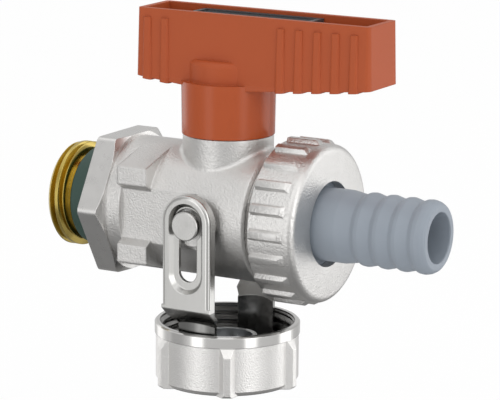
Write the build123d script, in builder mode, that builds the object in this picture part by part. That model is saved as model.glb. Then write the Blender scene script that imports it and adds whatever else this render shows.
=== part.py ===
from build123d import *
import os
from math import acos, atan2, cos, hypot, pi, radians, sin, sqrt, tan

# Drain cock: a quarter-turn ball valve with a self-sealing inlet, a hose tail under a union nut,
# and a closing cap that hangs on a bail. Millimetres. The origin is the centre of the inlet
# thread's free end, +X runs along the waterway to the hose tail, +Z along the stem to the handle.

# Main places
BALL_X = 35.7                 # where the waterway, the stem and the bail's pins cross
NECK_TOP_Z = 15.6             # top of the body's neck, where the handle's sleeve starts
FACE_GAP = 0.3                # between faces that pass each other
RUN_GAP = 0.06                # radial clearance of a turning fit
FIT_GAP = 0.04                # radial clearance of a fixed fit

# Waterway
WATERWAY_R = 5.0
BALL_R = 9.0
CHAMBER_GAP = 0.4             # between the ball and the bore around it
SEAT_DEPTH = 3.4              # length of a seat ring along the waterway
SEAT_OVERHANG = 1.02          # of a seat ring's back past the ball's flat end
SEAT_RELIEF = 0.5             # a seat ring's bore is wider than the waterway

# Inlet nipple and its rings
INLET_THREAD_R = 10.4775      # G 1/2 major radius
INLET_THREAD_LENGTH = 4.7
INLET_GROOVE_R = 8.2          # root of the groove that holds the self-sealing ring
INLET_SEAL_R = 9.6
NIPPLE_R = 10.0               # thread inside the body, M20 x 1
NIPPLE_SOCKET_AF = 11.0       # hexagon socket in the inlet, for screwing the nipple in
NIPPLE_SOCKET_DEPTH = 7.0
NIPPLE_SEAL_X = 14.5          # middle of the O-ring between nipple and body
NIPPLE_SEAL_WIRE_R = 0.75

# Body
HEX_X = 10.5                  # left face of the hex
HEX_WIDTH = 4.9
HEX_AF = 27.0
HEX_CORNER_R = 1.5            # rounding of the hex's corner edges
HEX_TURNED_R = 13.8           # where the turned chamfer meets the hex's right face
HEX_TURNED_ANGLE = 24.0       # of that chamfer, from the face
BODY_R = 13.0
BODY_REACH = 10.9             # from the stem's axis to where the spigot starts
BODY_END_ROUND = 0.6
FLATS_GAP = 3.2               # from the hex to the spanner flats
FLATS_WIDTH = 6.6
FLATS_AF = 27.2
FLATS_CORNER_Z = 9.5          # height of the flats' corners above the axis
PANEL_Y = 11.8                # sunk panel in the flats and on to the bail's pins
PANEL_HALF_HEIGHT = 4.9
PANEL_SIDE_RISE = 1.1         # height of the panel's sloping sides
NECK_R = 8.9
NECK_FILLET = 0.9
COLLAR_R = 6.2                # turned collar inside the handle's sleeve
COLLAR_HEIGHT = 4.4           # above the neck
STOP_LUG_R = 7.0              # the lug that stops the handle
STOP_LUG_RISE = 1.6           # from the neck to the lug's underside
STOP_LUG_ANGLE = 24.0
STOP_SLACK = 2.0              # degrees left between lug and stop at both ends of the quarter turn
PIN_BOSS_R = 4.6
PIN_BOSS_RISE = 0.7           # faces of the bosses for the bail's pins, above the round body
PIN_HOLE_R = 1.5
PIN_HOLE_DEPTH = 3.2

# Outlet spigot, union nut and hose tail
SPIGOT_ROOT_R = 12.05         # G 3/4 minor radius
SPIGOT_LENGTH = 6.0
SPIGOT_GROOVE_Y = 10.6        # side grooves that let the bail's legs pass
SPIGOT_GROOVE_HALF_HEIGHT = 5.0
TAIL_GASKET_THICK = 1.6
TAIL_GASKET_R = 12.0
TAIL_FLANGE_THICK = 2.2
TAIL_FLANGE_R = 12.6
TAIL_R = 7.1
TAIL_BORE_R = 4.85
TAIL_TIP_LENGTH = 3.58        # from the last valley to the tip
TAIL_COLLAR_R = 7.7           # thicker root inside the nut's hole
TAIL_BARBS = 4
TAIL_SMOOTH = 4.24            # smooth stretch between the nut and the taper
TAIL_BARB_PITCH = 4.0
TAIL_BARB_RISE = 1.1          # length of a barb's steep side
TAIL_VALLEY_R = 6.6
TAIL_PEAK_R = 7.12
TAIL_TAPER = 3.4              # length of the slope down to the first valley
TAIL_LIP_R = 7.0              # last barb, at the tip
TAIL_TIP_SLOPE = 1.7          # length of the tip's lead-in
TAIL_TIP_R = 6.2
NUT_SIDE = 2.08               # wall round the bore
NUT_BORE_R = 13.32            # clear of the spigot's G 3/4 thread
NUT_HOLE_R = 8.3
NUT_WALL = 2.0                # front wall that bears on the hose tail's flange
NUT_LENGTH = 9.65
NUT_FRONT_ROUND = 1.4
NUT_RIBS = 20
NUT_RIB_WIDTH = 2.1
NUT_RIB_HEIGHT = 0.8
NUT_RIB_LENGTH = 7.6
NUT_RIB_START = 0.4           # from the nut's left end

# Ball, stem and its seals
STEM_R = 3.9
STEM_FLANGE_R = 4.6
STEM_BALL_GAP = 0.35          # between the ball and the stem's flange
STEM_FLANGE_THICK = 1.3
STEM_WASHER_THICK = 0.5
STEM_WASHER_GAP = 0.05
TANG_WIDTH = 3.9
TANG_LENGTH = 7.6
TANG_DEPTH = 2.7              # how far the tang reaches down below the flange
TANG_GAP = 0.1
STEM_SEAL_WIRE_R = 0.7
STEM_SEAL_LOW_Z = 13.6
STEM_SEAL_HIGH_Z = 17.0
STEM_SHOULDER_RISE = 0.4      # above the collar
STEM_SQUARE = 5.6
STEM_SQUARE_LENGTH = 8.8
STEM_HOLE_R = 1.65            # tapped M4
STEM_HOLE_DEPTH = 8.0

# Handle
HANDLE_LEFT = 17.3            # reach from the stem towards the inlet
HANDLE_RIGHT = 33.4           # reach from the stem towards the outlet
HANDLE_TOP_Z = 39.65
HANDLE_HALF_WIDTH = 5.6       # at the rim
HANDLE_DRAFT = 1.4            # degrees, wider towards the bottom
HANDLE_CORNER_R = 0.8
HANDLE_LEFT_Z = 26.3          # underside at the left end
HANDLE_MIDDLE_Z = 24.6        # underside at the stem
HANDLE_RIGHT_Z = 27.5        # underside at the right end
HANDLE_WALL = 1.2
HANDLE_POCKET_Z = 30.0        # floor of the deep pockets beside the middle
HANDLE_WELL_FLOOR = 1.4       # between the stem's top and the screw's head
HANDLE_RIB_WIDTH = 1.6
HANDLE_RIB_HEIGHT = 0.45
HANDLE_RIB_PITCH = 3.92
HANDLE_RIB_DROP = 1.7         # from the rim to the ribs' tops
HANDLE_RIB_OVERRUN = 0.3      # past the bar's underside
HANDLE_LEFT_RIBS = 2
HANDLE_LEFT_RIB_X = -14.95    # first rib, from the stem
HANDLE_RIGHT_RIBS = 5
HANDLE_RIGHT_RIB_X = 14.6
SLEEVE_BOTTOM_R = 9.1
SLEEVE_TOP_R = 9.25
SLEEVE_LEDGE_Z = 26.2
SLEEVE_WALL = 1.5
SLEEVE_GAP = 0.12             # above the body's neck
SLEEVE_ROOF_GAP = 2.4         # above the collar
CHEEK_R = 7.9                 # round cheeks above the sleeve's ledge
CHEEK_TOP_Z = 30.6
CHEEK_ROUND = 1.2
INSERT_LEFT = 7.9             # dark plate, reach from the stem towards the inlet
INSERT_RIGHT = 18.5
INSERT_DEPTH = 0.65           # of its upper face below the rim
INSERT_THICK = 1.2
INSERT_GAP = 0.1
INSERT_FRAME_WIDTH = 0.9      # raised border of the plate
INSERT_FRAME_HEIGHT = 0.4
CROSS_WALL = 1.0              # walls in the handle that carry the plate
HANDLE_SCREW_HEAD_R = 3.5
HANDLE_SCREW_HEAD_HEIGHT = 2.4
HANDLE_SCREW_R = 1.6
HANDLE_SCREW_LENGTH = 8.0
HANDLE_SCREW_SLOT = 2.5       # across the flats of the screw's hexagon socket

# Bail and its pins
SHEET = 0.8
BAIL_GAP = 0.8                # between the pins' bosses and the bail's sunk panels
BAIL_HALF_WIDTH = 5.3
BAIL_DEPTH = 2.3              # depth of a leg's folded rim
BAIL_EDGE_R = 0.75
BAIL_ROUND_Z = 0.6            # centre of the leg's round end
BAIL_LEG_END_Z = -16.6
EMBOSS_DEPTH = 1.0
EMBOSS_HALF_WIDTH = 3.75
EMBOSS_TAPER = 35.0
EMBOSS_BOTTOM_Z = -13.4
KEYHOLE_R = 3.3
SLOT_HALF_WIDTH = 2.0
SLOT_BOTTOM_Z = -11.2
JOGGLE_SLOPE = 0.88           # drop for each millimetre inwards
LOWER_LEG_GAP = 0.7           # between the narrow legs and the cap's bore
LOWER_LEG_HALF_WIDTH = 4.05
LOWER_LEG_BEND_R = 1.6
PIN_HEAD_R = 2.85
PIN_PROUD = 0.45              # of the pins' heads over the bail
PIN_HEAD_THICK = 1.1
PIN_NECK_R = 1.85
PIN_EDGE = 0.2

# Cap
CAP_DROP = 2.02               # from the end of the bail's slopes down to the cap's rim
CAP_HEIGHT = 12.02
CAP_BAND_PROUD = 0.225        # of the band over the cap's wall
CAP_BAND_HEIGHT = 2.3
CAP_WALL = 0.85
CAP_BORE_R = 13.3             # root of the G 3/4 thread
CAP_FLOOR_THICK = 2.4
CAP_RIM_EDGE = 0.3
CAP_FOOT_EDGE = 0.9
CAP_RIBS = 6
CAP_RIB_HEIGHT = 1.15
CAP_RIB_FOOT_WIDTH = 2.9
CAP_RIB_TOP_WIDTH = 1.3
CAP_RIB_TOP_SLOPE = 1.7       # height of the slope at a rib's upper end
STRAP_GAP = 0.2               # between the cap's floor and the bail's base
HUB_R = 5.9
HUB_HEIGHT = 5.5
HUB_WALL = 0.9
HUB_FLOOR = 1.9
RIVET_R = 2.2
RIVET_HEAD_R = 3.4
RIVET_HEAD_THICK = 1.0
RIVET_FOOT_R = 4.2
RIVET_FOOT_THICK = 0.9
CAP_COUNTERBORE_DEPTH = 1.2
CAP_GASKET_THICK = 1.6

# Worked out from the sizes above
flats_x = HEX_X + HEX_WIDTH + FLATS_GAP
body_end_x = BALL_X + BODY_REACH
chamber_r = BALL_R + CHAMBER_GAP
seat_lip_r = WATERWAY_R + SEAT_RELIEF
seat_back = sqrt(BALL_R ** 2 - WATERWAY_R ** 2) + SEAT_OVERHANG
nipple_end = BALL_X - seat_back
outlet_seat_x = BALL_X + seat_back
spigot_end = body_end_x + SPIGOT_LENGTH
flange_x = spigot_end + TAIL_GASKET_THICK
nut_wall_x = flange_x + TAIL_FLANGE_THICK + RUN_GAP
nut_end = nut_wall_x + NUT_WALL
nut_start = nut_end - NUT_LENGTH
nut_r = NUT_BORE_R + NUT_SIDE
tail_barb_x = nut_end + TAIL_SMOOTH + TAIL_TAPER
tail_tip_x = tail_barb_x + (TAIL_BARBS - 1) * TAIL_BARB_PITCH + TAIL_TIP_LENGTH
collar_top_z = NECK_TOP_Z + COLLAR_HEIGHT
stop_lug_z = NECK_TOP_Z + STOP_LUG_RISE
stem_flange_z = BALL_R + STEM_BALL_GAP
stem_shoulder_z = collar_top_z + STEM_SHOULDER_RISE
stem_top_z = stem_shoulder_z + STEM_SQUARE_LENGTH
stem_flange_top = stem_flange_z + STEM_FLANGE_THICK
stem_pocket_roof = stem_flange_top + STEM_WASHER_THICK + 2 * STEM_WASHER_GAP
stem_bore_r = STEM_R + RUN_GAP
sleeve_inner_r = SLEEVE_BOTTOM_R - SLEEVE_WALL
sleeve_bottom = NECK_TOP_Z + SLEEVE_GAP
sleeve_roof_z = collar_top_z + SLEEVE_ROOF_GAP
handle_well_z = stem_top_z + HANDLE_WELL_FLOOR
insert_z = HANDLE_TOP_Z - INSERT_DEPTH
pin_boss_y = BODY_R + PIN_BOSS_RISE
bail_front_y = pin_boss_y + BAIL_GAP + EMBOSS_DEPTH + SHEET
pin_face_y = bail_front_y + PIN_PROUD
lower_leg_r = CAP_BORE_R - LOWER_LEG_GAP
cap_wall_r = CAP_BORE_R + CAP_WALL
cap_band_r = cap_wall_r + CAP_BAND_PROUD
cap_rib_r = cap_wall_r + CAP_RIB_HEIGHT


def turned(points):
    """Outline of a turned piece in the plane of the waterway: (x, radius) points, closed to the axis."""
    return [(points[0][0], 0.0)] + points + [(points[-1][0], 0.0)]


def at_stem(x, z):
    """A point in the stem's own plane, measured from the stem's axis."""
    return (BALL_X + x, z)


STEM_AXIS = Axis((BALL_X, 0, 0), (0, 0, 1))
STEM_PLANE = Plane.XZ


def stem_level(z):
    """Horizontal plane on the stem's axis."""
    return Plane.XY.offset(z).move(Location((BALL_X, 0, 0)))


def side_plane(y, side):
    """Upright plane on the pins' axis, y in front of (side -1) or behind (side 1) the waterway."""
    return Plane((BALL_X, side * y, 0), x_dir=(1, 0, 0), z_dir=(0, side, 0))


def station(x):
    """Plane across the waterway, its own x along +Y and its own y along +Z."""
    return Plane.YZ.offset(x)


def joggle_z(y):
    """Height of the lower side of the bail's slope, y from the waterway's axis."""
    return BAIL_LEG_END_Z - (bail_front_y - y) * JOGGLE_SLOPE


# The cap hangs below the end of the bail's slopes, and the bail's base lies on its floor
joggle_end_z = joggle_z(lower_leg_r)
joggle_rise = SHEET * sqrt(1 + JOGGLE_SLOPE ** 2)
cap_rim_z = joggle_end_z - CAP_DROP
cap_bottom_z = cap_rim_z - CAP_HEIGHT
cap_floor_z = cap_bottom_z + CAP_FLOOR_THICK
strap_bottom = cap_floor_z + STRAP_GAP
strap_top = strap_bottom + SHEET

# Valve body
with BuildPart() as valve_body:
    # Hex, its corners rounded and turned down on the right
    with BuildSketch(station(HEX_X)):
        RegularPolygon(HEX_AF / 2, 6, major_radius=False, rotation=0)
        fillet(vertices(), HEX_CORNER_R)
    extrude(amount=HEX_WIDTH)
    hex_corner = HEX_AF / sqrt(3)
    turn_length = (hex_corner - HEX_TURNED_R) * tan(radians(HEX_TURNED_ANGLE))
    with BuildSketch(Plane.XY):
        with BuildLine():
            Polyline(
                (HEX_X - FACE_GAP, 0),
                (HEX_X - FACE_GAP, hex_corner),
                (HEX_X + HEX_WIDTH - turn_length, hex_corner),
                (HEX_X + HEX_WIDTH, HEX_TURNED_R),
                (HEX_X + HEX_WIDTH, 0),
                close=True,
            )
        make_face()
    revolve(axis=Axis.X, mode=Mode.INTERSECT)

    # Round body and spigot
    with BuildSketch(Plane.XY):
        with BuildLine():
            Polyline(turned([
                (HEX_X + HEX_WIDTH / 2, BODY_R),
                (body_end_x - BODY_END_ROUND, BODY_R),
                (body_end_x, BODY_R - BODY_END_ROUND),
                (body_end_x, SPIGOT_ROOT_R),
                (spigot_end, SPIGOT_ROOT_R),
            ]), close=True)
        make_face()
    revolve(axis=Axis.X)

    # Spanner flats: straight tangents run from the corners to the round body
    corner_y = FLATS_AF / 2
    tangent = atan2(FLATS_CORNER_Z, corner_y) + acos(BODY_R / hypot(corner_y, FLATS_CORNER_Z))
    touch_y = BODY_R * cos(tangent)
    touch_z = BODY_R * sin(tangent)
    with BuildSketch(station(flats_x)):
        with BuildLine():
            Polyline((0, 0), (touch_y, touch_z), (corner_y, FLATS_CORNER_Z), (corner_y, 0), close=True)
        make_face()
        mirror(about=Plane.XZ)
        mirror(about=Plane.YZ)
    extrude(amount=FLATS_WIDTH)

    # Sunk panel in both flats and on to the pins' bosses
    panel_depth = corner_y - PANEL_Y
    with BuildSketch(station(flats_x)):
        with BuildLine():
            Polyline(
                (PANEL_Y, -PANEL_HALF_HEIGHT),
                (PANEL_Y + 2 * panel_depth, -PANEL_HALF_HEIGHT - 2 * PANEL_SIDE_RISE),
                (PANEL_Y + 2 * panel_depth, PANEL_HALF_HEIGHT + 2 * PANEL_SIDE_RISE),
                (PANEL_Y, PANEL_HALF_HEIGHT),
                close=True,
            )
        make_face()
        mirror(about=Plane.YZ)
    extrude(amount=FLATS_WIDTH, mode=Mode.SUBTRACT)
    side_x = flats_x + FLATS_WIDTH
    with BuildSketch(station(side_x)):
        with Locations((PANEL_Y + BODY_R / 2, 0), (-PANEL_Y - BODY_R / 2, 0)):
            Rectangle(BODY_R, 2 * BODY_R)
    extrude(amount=BALL_X - side_x, mode=Mode.SUBTRACT)

    # Neck with its fillet
    with BuildSketch(stem_level(0)):
        Circle(NECK_R)
    extrude(amount=NECK_TOP_Z)
    shoulder_edges = valve_body.edges().filter_by_position(Axis.Z, BODY_R - NECK_R, BODY_R + FACE_GAP)
    neck_edges = shoulder_edges.filter_by(
        lambda e: abs(hypot(e.center().X - BALL_X, e.center().Y) - NECK_R) < NECK_R / 2
        and e.geom_type not in (GeomType.LINE, GeomType.CIRCLE)
    )
    fillet(neck_edges, NECK_FILLET)

    # Collar and stop lug inside the handle's sleeve
    with BuildSketch(stem_level(0)):
        Circle(COLLAR_R)
    extrude(amount=collar_top_z)
    with BuildSketch(stem_level(stop_lug_z)):
        with BuildLine():
            half = radians(STOP_LUG_ANGLE / 2)
            inner = COLLAR_R - FACE_GAP
            start = (-STOP_LUG_R * cos(half), STOP_LUG_R * sin(half))
            end = (-STOP_LUG_R * cos(half), -STOP_LUG_R * sin(half))
            ThreePointArc(start, (-STOP_LUG_R, 0), end)
            Polyline(
                end,
                (-inner * cos(half), -inner * sin(half)),
                (-inner * cos(half), inner * sin(half)),
                start,
            )
        make_face()
    extrude(amount=collar_top_z - stop_lug_z)

    # Bosses and holes for the bail's pins
    for side in (1, -1):
        with BuildSketch(side_plane(PANEL_Y - FACE_GAP, side)):
            Circle(PIN_BOSS_R)
        extrude(amount=pin_boss_y - PANEL_Y + FACE_GAP)

    # Bore for the nipple, chamber, outlet bore
    with BuildSketch(Plane.XY):
        with BuildLine():
            Polyline(turned([
                (HEX_X, NIPPLE_R + FIT_GAP),
                (nipple_end + FIT_GAP, NIPPLE_R + FIT_GAP),
                (nipple_end + FIT_GAP, chamber_r),
                (outlet_seat_x, chamber_r),
                (outlet_seat_x, WATERWAY_R),
                (spigot_end, WATERWAY_R),
            ]), close=True)
        make_face()
    revolve(axis=Axis.X, mode=Mode.SUBTRACT)

    # Bore for the stem, with the pocket for its flange
    with BuildSketch(stem_level(0)):
        Circle(stem_bore_r)
    extrude(amount=collar_top_z, mode=Mode.SUBTRACT)
    with BuildSketch(stem_level(0)):
        Circle(STEM_FLANGE_R + RUN_GAP)
    extrude(amount=stem_pocket_roof, mode=Mode.SUBTRACT)

    # Pin holes and the spigot's side grooves
    for side in (1, -1):
        with BuildSketch(side_plane(pin_boss_y, side)):
            Circle(PIN_HOLE_R + FIT_GAP)
        extrude(amount=-PIN_HOLE_DEPTH, mode=Mode.SUBTRACT)
    with BuildSketch(station(body_end_x)):
        for side in (1, -1):
            with Locations((side * (SPIGOT_GROOVE_Y + BODY_R / 2), 0)):
                Rectangle(BODY_R, 2 * SPIGOT_GROOVE_HALF_HEIGHT)
    extrude(amount=SPIGOT_LENGTH, mode=Mode.SUBTRACT)
valve_body.part.label = "valve_body"

# Inlet nipple
nipple_seal_root_r = NIPPLE_R + FIT_GAP - 2 * NIPPLE_SEAL_WIRE_R
with BuildPart() as inlet_nipple:
    with BuildSketch(Plane.XY):
        with BuildLine():
            Polyline(turned([
                (0, INLET_THREAD_R),
                (INLET_THREAD_LENGTH, INLET_THREAD_R),
                (INLET_THREAD_LENGTH, INLET_GROOVE_R),
                (HEX_X, INLET_GROOVE_R),
                (HEX_X, NIPPLE_R),
                (NIPPLE_SEAL_X - NIPPLE_SEAL_WIRE_R, NIPPLE_R),
                (NIPPLE_SEAL_X - NIPPLE_SEAL_WIRE_R, nipple_seal_root_r),
                (NIPPLE_SEAL_X + NIPPLE_SEAL_WIRE_R, nipple_seal_root_r),
                (NIPPLE_SEAL_X + NIPPLE_SEAL_WIRE_R, NIPPLE_R),
                (nipple_end, NIPPLE_R),
            ]), close=True)
        make_face()
    revolve(axis=Axis.X)
    with BuildSketch(station(0)):
        Circle(WATERWAY_R)
    extrude(amount=nipple_end, mode=Mode.SUBTRACT)
    with BuildSketch(station(0)):
        RegularPolygon(NIPPLE_SOCKET_AF / 2, 6, major_radius=False)
    extrude(amount=NIPPLE_SOCKET_DEPTH, mode=Mode.SUBTRACT)
inlet_nipple.part.label = "inlet_nipple"

# Self-sealing ring, between the thread and the hex
with BuildPart() as inlet_seal:
    ring_start = INLET_THREAD_LENGTH + FIT_GAP
    ring_length = HEX_X - ring_start - FIT_GAP
    with BuildSketch(station(ring_start)):
        Circle(INLET_SEAL_R)
        Circle(INLET_GROOVE_R + FIT_GAP, mode=Mode.SUBTRACT)
    extrude(amount=ring_length)
    outer_edge = inlet_seal.edges().group_by(Axis.X)[0].sort_by(SortBy.LENGTH)[-1]
    chamfer(outer_edge, (INLET_SEAL_R - INLET_GROOVE_R) / 3)
inlet_seal.part.label = "inlet_seal"

# O-ring between nipple and body
with BuildPart() as nipple_seal:
    with BuildSketch(Plane.XY):
        with Locations((NIPPLE_SEAL_X, nipple_seal_root_r + NIPPLE_SEAL_WIRE_R)):
            Circle(NIPPLE_SEAL_WIRE_R - FIT_GAP)
    revolve(axis=Axis.X)
nipple_seal.part.label = "nipple_seal"


# Seat rings with a spherical lip towards the ball
with BuildPart() as seat_ring_inlet:
    with BuildSketch(station(nipple_end)):
        Circle(chamber_r - FIT_GAP)
        Circle(seat_lip_r, mode=Mode.SUBTRACT)
    extrude(amount=SEAT_DEPTH)
    with Locations((BALL_X, 0, 0)):
        Sphere(BALL_R + RUN_GAP, mode=Mode.SUBTRACT)
seat_ring_inlet.part.label = "seat_ring_inlet"

with BuildPart() as seat_ring_outlet:
    mirror(seat_ring_inlet.part, about=station(BALL_X))
seat_ring_outlet.part.label = "seat_ring_outlet"

# Ball, with the cross slot for the stem's tang
slot_floor_z = stem_flange_z - TANG_DEPTH - TANG_GAP
with BuildPart() as ball:
    with Locations((BALL_X, 0, 0)):
        Sphere(BALL_R)
    with BuildSketch(station(BALL_X - BALL_R)):
        Circle(WATERWAY_R)
    extrude(amount=2 * BALL_R, mode=Mode.SUBTRACT)
    with BuildSketch(stem_level(slot_floor_z)):
        Rectangle(TANG_WIDTH + 2 * TANG_GAP, 2 * BALL_R)
    extrude(amount=BALL_R, mode=Mode.SUBTRACT)
ball.part.label = "ball"

# Stem: tang, flange, two O-ring grooves, square and tapped hole
seal_root_r = stem_bore_r - 2 * STEM_SEAL_WIRE_R
with BuildPart() as stem:
    with BuildSketch(stem_level(stem_flange_z - TANG_DEPTH)):
        Rectangle(TANG_WIDTH, TANG_LENGTH)
    extrude(amount=TANG_DEPTH)
    with BuildSketch(stem_level(stem_flange_z)):
        Circle(STEM_FLANGE_R)
    extrude(amount=STEM_FLANGE_THICK)
    with BuildSketch(stem_level(stem_flange_top)):
        Circle(STEM_R)
    extrude(amount=stem_shoulder_z - stem_flange_top)
    for seal_z in (STEM_SEAL_LOW_Z, STEM_SEAL_HIGH_Z):
        with BuildSketch(stem_level(seal_z - STEM_SEAL_WIRE_R)):
            Circle(STEM_R + FACE_GAP)
            Circle(seal_root_r, mode=Mode.SUBTRACT)
        extrude(amount=2 * STEM_SEAL_WIRE_R, mode=Mode.SUBTRACT)
    with BuildSketch(stem_level(stem_shoulder_z)):
        Rectangle(STEM_SQUARE, STEM_SQUARE)
    extrude(amount=stem_top_z - stem_shoulder_z)
    with BuildSketch(stem_level(stem_top_z)):
        Circle(STEM_HOLE_R)
    extrude(amount=-STEM_HOLE_DEPTH, mode=Mode.SUBTRACT)
stem.part.label = "stem"

# Thrust washer above the stem's flange
with BuildPart() as stem_washer:
    with BuildSketch(stem_level(stem_flange_top + STEM_WASHER_GAP)):
        Circle(STEM_FLANGE_R)
        Circle(STEM_R + FIT_GAP, mode=Mode.SUBTRACT)
    extrude(amount=STEM_WASHER_THICK)
stem_washer.part.label = "stem_washer"


def stem_o_ring(z, label):
    """O-ring in a groove of the stem."""
    with BuildPart() as ring:
        with BuildSketch(STEM_PLANE):
            with Locations(at_stem(seal_root_r + STEM_SEAL_WIRE_R, z)):
                Circle(STEM_SEAL_WIRE_R - FIT_GAP)
        revolve(axis=STEM_AXIS)
    ring.part.label = label
    return ring


stem_o_ring_lower = stem_o_ring(STEM_SEAL_LOW_Z, "stem_o_ring_lower")
stem_o_ring_upper = stem_o_ring(STEM_SEAL_HIGH_Z, "stem_o_ring_upper")


def underside(lift):
    """The bar's underside, seen from the front: two slopes that meet lowest at the stem."""
    reach = HANDLE_RIGHT
    left_rise = (HANDLE_LEFT_Z - HANDLE_MIDDLE_Z) / HANDLE_LEFT
    right_rise = (HANDLE_RIGHT_Z - HANDLE_MIDDLE_Z) / HANDLE_RIGHT
    return [
        at_stem(-2 * reach, HANDLE_MIDDLE_Z + left_rise * 2 * reach + lift),
        at_stem(0, HANDLE_MIDDLE_Z + lift),
        at_stem(2 * reach, HANDLE_MIDDLE_Z + right_rise * 2 * reach + lift),
        at_stem(2 * reach, -reach),
        at_stem(-2 * reach, -reach),
    ]


# Handle
bar_length = HANDLE_LEFT + HANDLE_RIGHT
bar_middle = (HANDLE_RIGHT - HANDLE_LEFT) / 2
bar_height = HANDLE_TOP_Z - HANDLE_MIDDLE_Z + HANDLE_RIB_OVERRUN
rib_top_z = HANDLE_TOP_Z - HANDLE_RIB_DROP
left_rib_xs = [HANDLE_LEFT_RIB_X + HANDLE_RIB_PITCH * i for i in range(HANDLE_LEFT_RIBS)]
right_rib_xs = [HANDLE_RIGHT_RIB_X + HANDLE_RIB_PITCH * i for i in range(HANDLE_RIGHT_RIBS)]
pocket_half_width = HANDLE_HALF_WIDTH - HANDLE_WALL
well_left = INSERT_LEFT - CROSS_WALL + INSERT_GAP
well_right = INSERT_RIGHT - CROSS_WALL + INSERT_GAP
rib_half = HANDLE_HALF_WIDTH + HANDLE_RIB_DROP * tan(radians(HANDLE_DRAFT)) + HANDLE_RIB_HEIGHT
with BuildPart() as grip_ribs:
    # Ribs right across the bar, running a little past its underside
    with BuildSketch(stem_level(rib_top_z)):
        for x in left_rib_xs + right_rib_xs:
            with Locations((x, 0)):
                Rectangle(HANDLE_RIB_WIDTH, 2 * rib_half)
        fillet(vertices(), HANDLE_RIB_WIDTH / 4)
    extrude(amount=HANDLE_MIDDLE_Z - HANDLE_RIB_OVERRUN - rib_top_z, taper=-HANDLE_DRAFT)
    with BuildSketch(STEM_PLANE):
        with BuildLine():
            Polyline(underside(-HANDLE_RIB_OVERRUN), close=True)
        make_face()
    extrude(amount=HANDLE_RIGHT, both=True, mode=Mode.SUBTRACT)
with BuildPart() as handle:
    # Tapered bar
    with BuildSketch(stem_level(HANDLE_TOP_Z)):
        with Locations((bar_middle, 0)):
            Rectangle(bar_length, 2 * HANDLE_HALF_WIDTH)
        fillet(vertices(), HANDLE_CORNER_R)
    extrude(amount=-bar_height, taper=-HANDLE_DRAFT)
    with BuildSketch(STEM_PLANE):
        with BuildLine():
            Polyline(underside(0), close=True)
        make_face()
    extrude(amount=HANDLE_RIGHT, both=True, mode=Mode.SUBTRACT)

    # Grip ribs
    add(grip_ribs.part)

    # Sleeve over the neck and the round cheeks above its ledge
    with BuildSketch(STEM_PLANE):
        with BuildLine():
            Polyline(
                at_stem(0, sleeve_bottom),
                at_stem(SLEEVE_BOTTOM_R, sleeve_bottom),
                at_stem(SLEEVE_TOP_R, SLEEVE_LEDGE_Z),
                at_stem(CHEEK_R, SLEEVE_LEDGE_Z),
                at_stem(CHEEK_R, CHEEK_TOP_Z),
                at_stem(0, CHEEK_TOP_Z),
                close=True,
            )
        make_face()
        fillet(vertices().group_by(Axis.Y)[-1].sort_by(Axis.X)[-1], CHEEK_ROUND)
    revolve(axis=STEM_AXIS)

    # Deep pockets at both ends, the shallow seat of the plate and the well over the screw
    seat_z = insert_z - INSERT_THICK
    with BuildSketch(stem_level(seat_z)):
        with Locations((bar_middle, 0)):
            Rectangle(bar_length - 2 * HANDLE_WALL, 2 * pocket_half_width)
    extrude(amount=HANDLE_TOP_Z - seat_z, mode=Mode.SUBTRACT)
    left_pocket = HANDLE_LEFT - HANDLE_WALL - INSERT_LEFT
    right_pocket = HANDLE_RIGHT - HANDLE_WALL - INSERT_RIGHT
    with BuildSketch(stem_level(HANDLE_POCKET_Z)):
        with Locations((-INSERT_LEFT - left_pocket / 2, 0)):
            Rectangle(left_pocket, 2 * pocket_half_width)
        with Locations((INSERT_RIGHT + right_pocket / 2, 0)):
            Rectangle(right_pocket, 2 * pocket_half_width)
    extrude(amount=HANDLE_TOP_Z - HANDLE_POCKET_Z, mode=Mode.SUBTRACT)
    with BuildSketch(stem_level(handle_well_z)):
        with Locations(((well_right - well_left) / 2, 0)):
            Rectangle(well_left + well_right, 2 * pocket_half_width)
    extrude(amount=HANDLE_TOP_Z - handle_well_z, mode=Mode.SUBTRACT)

    # Hollow sleeve with the stop ring: its window leaves the body's lug a quarter turn
    with BuildSketch(stem_level(sleeve_bottom)):
        Circle(sleeve_inner_r)
    extrude(amount=sleeve_roof_z - sleeve_bottom, mode=Mode.SUBTRACT)
    with BuildSketch(stem_level(stop_lug_z)):
        Circle(sleeve_inner_r + FACE_GAP)
        Circle(COLLAR_R + FACE_GAP, mode=Mode.SUBTRACT)
        with BuildLine():
            reach = 2 * NECK_R
            slack = radians(STOP_LUG_ANGLE / 2 + STOP_SLACK)
            first = pi - slack
            last = pi + slack + pi / 2
            Polyline(
                (0, 0),
                (reach * cos(first), reach * sin(first)),
                (-reach, 0),
                (-reach, -reach),
                (reach * cos(last), reach * sin(last)),
                close=True,
            )
        make_face(mode=Mode.SUBTRACT)
    extrude(amount=sleeve_roof_z - stop_lug_z)
    with BuildSketch(stem_level(sleeve_roof_z)):
        Rectangle(STEM_SQUARE + 2 * FIT_GAP, STEM_SQUARE + 2 * FIT_GAP)
    extrude(amount=stem_top_z + FIT_GAP - sleeve_roof_z, mode=Mode.SUBTRACT)
    with BuildSketch(stem_level(stem_top_z)):
        Circle(HANDLE_SCREW_R + RUN_GAP)
    extrude(amount=handle_well_z - stem_top_z, mode=Mode.SUBTRACT)
handle.part.label = "handle"

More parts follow.
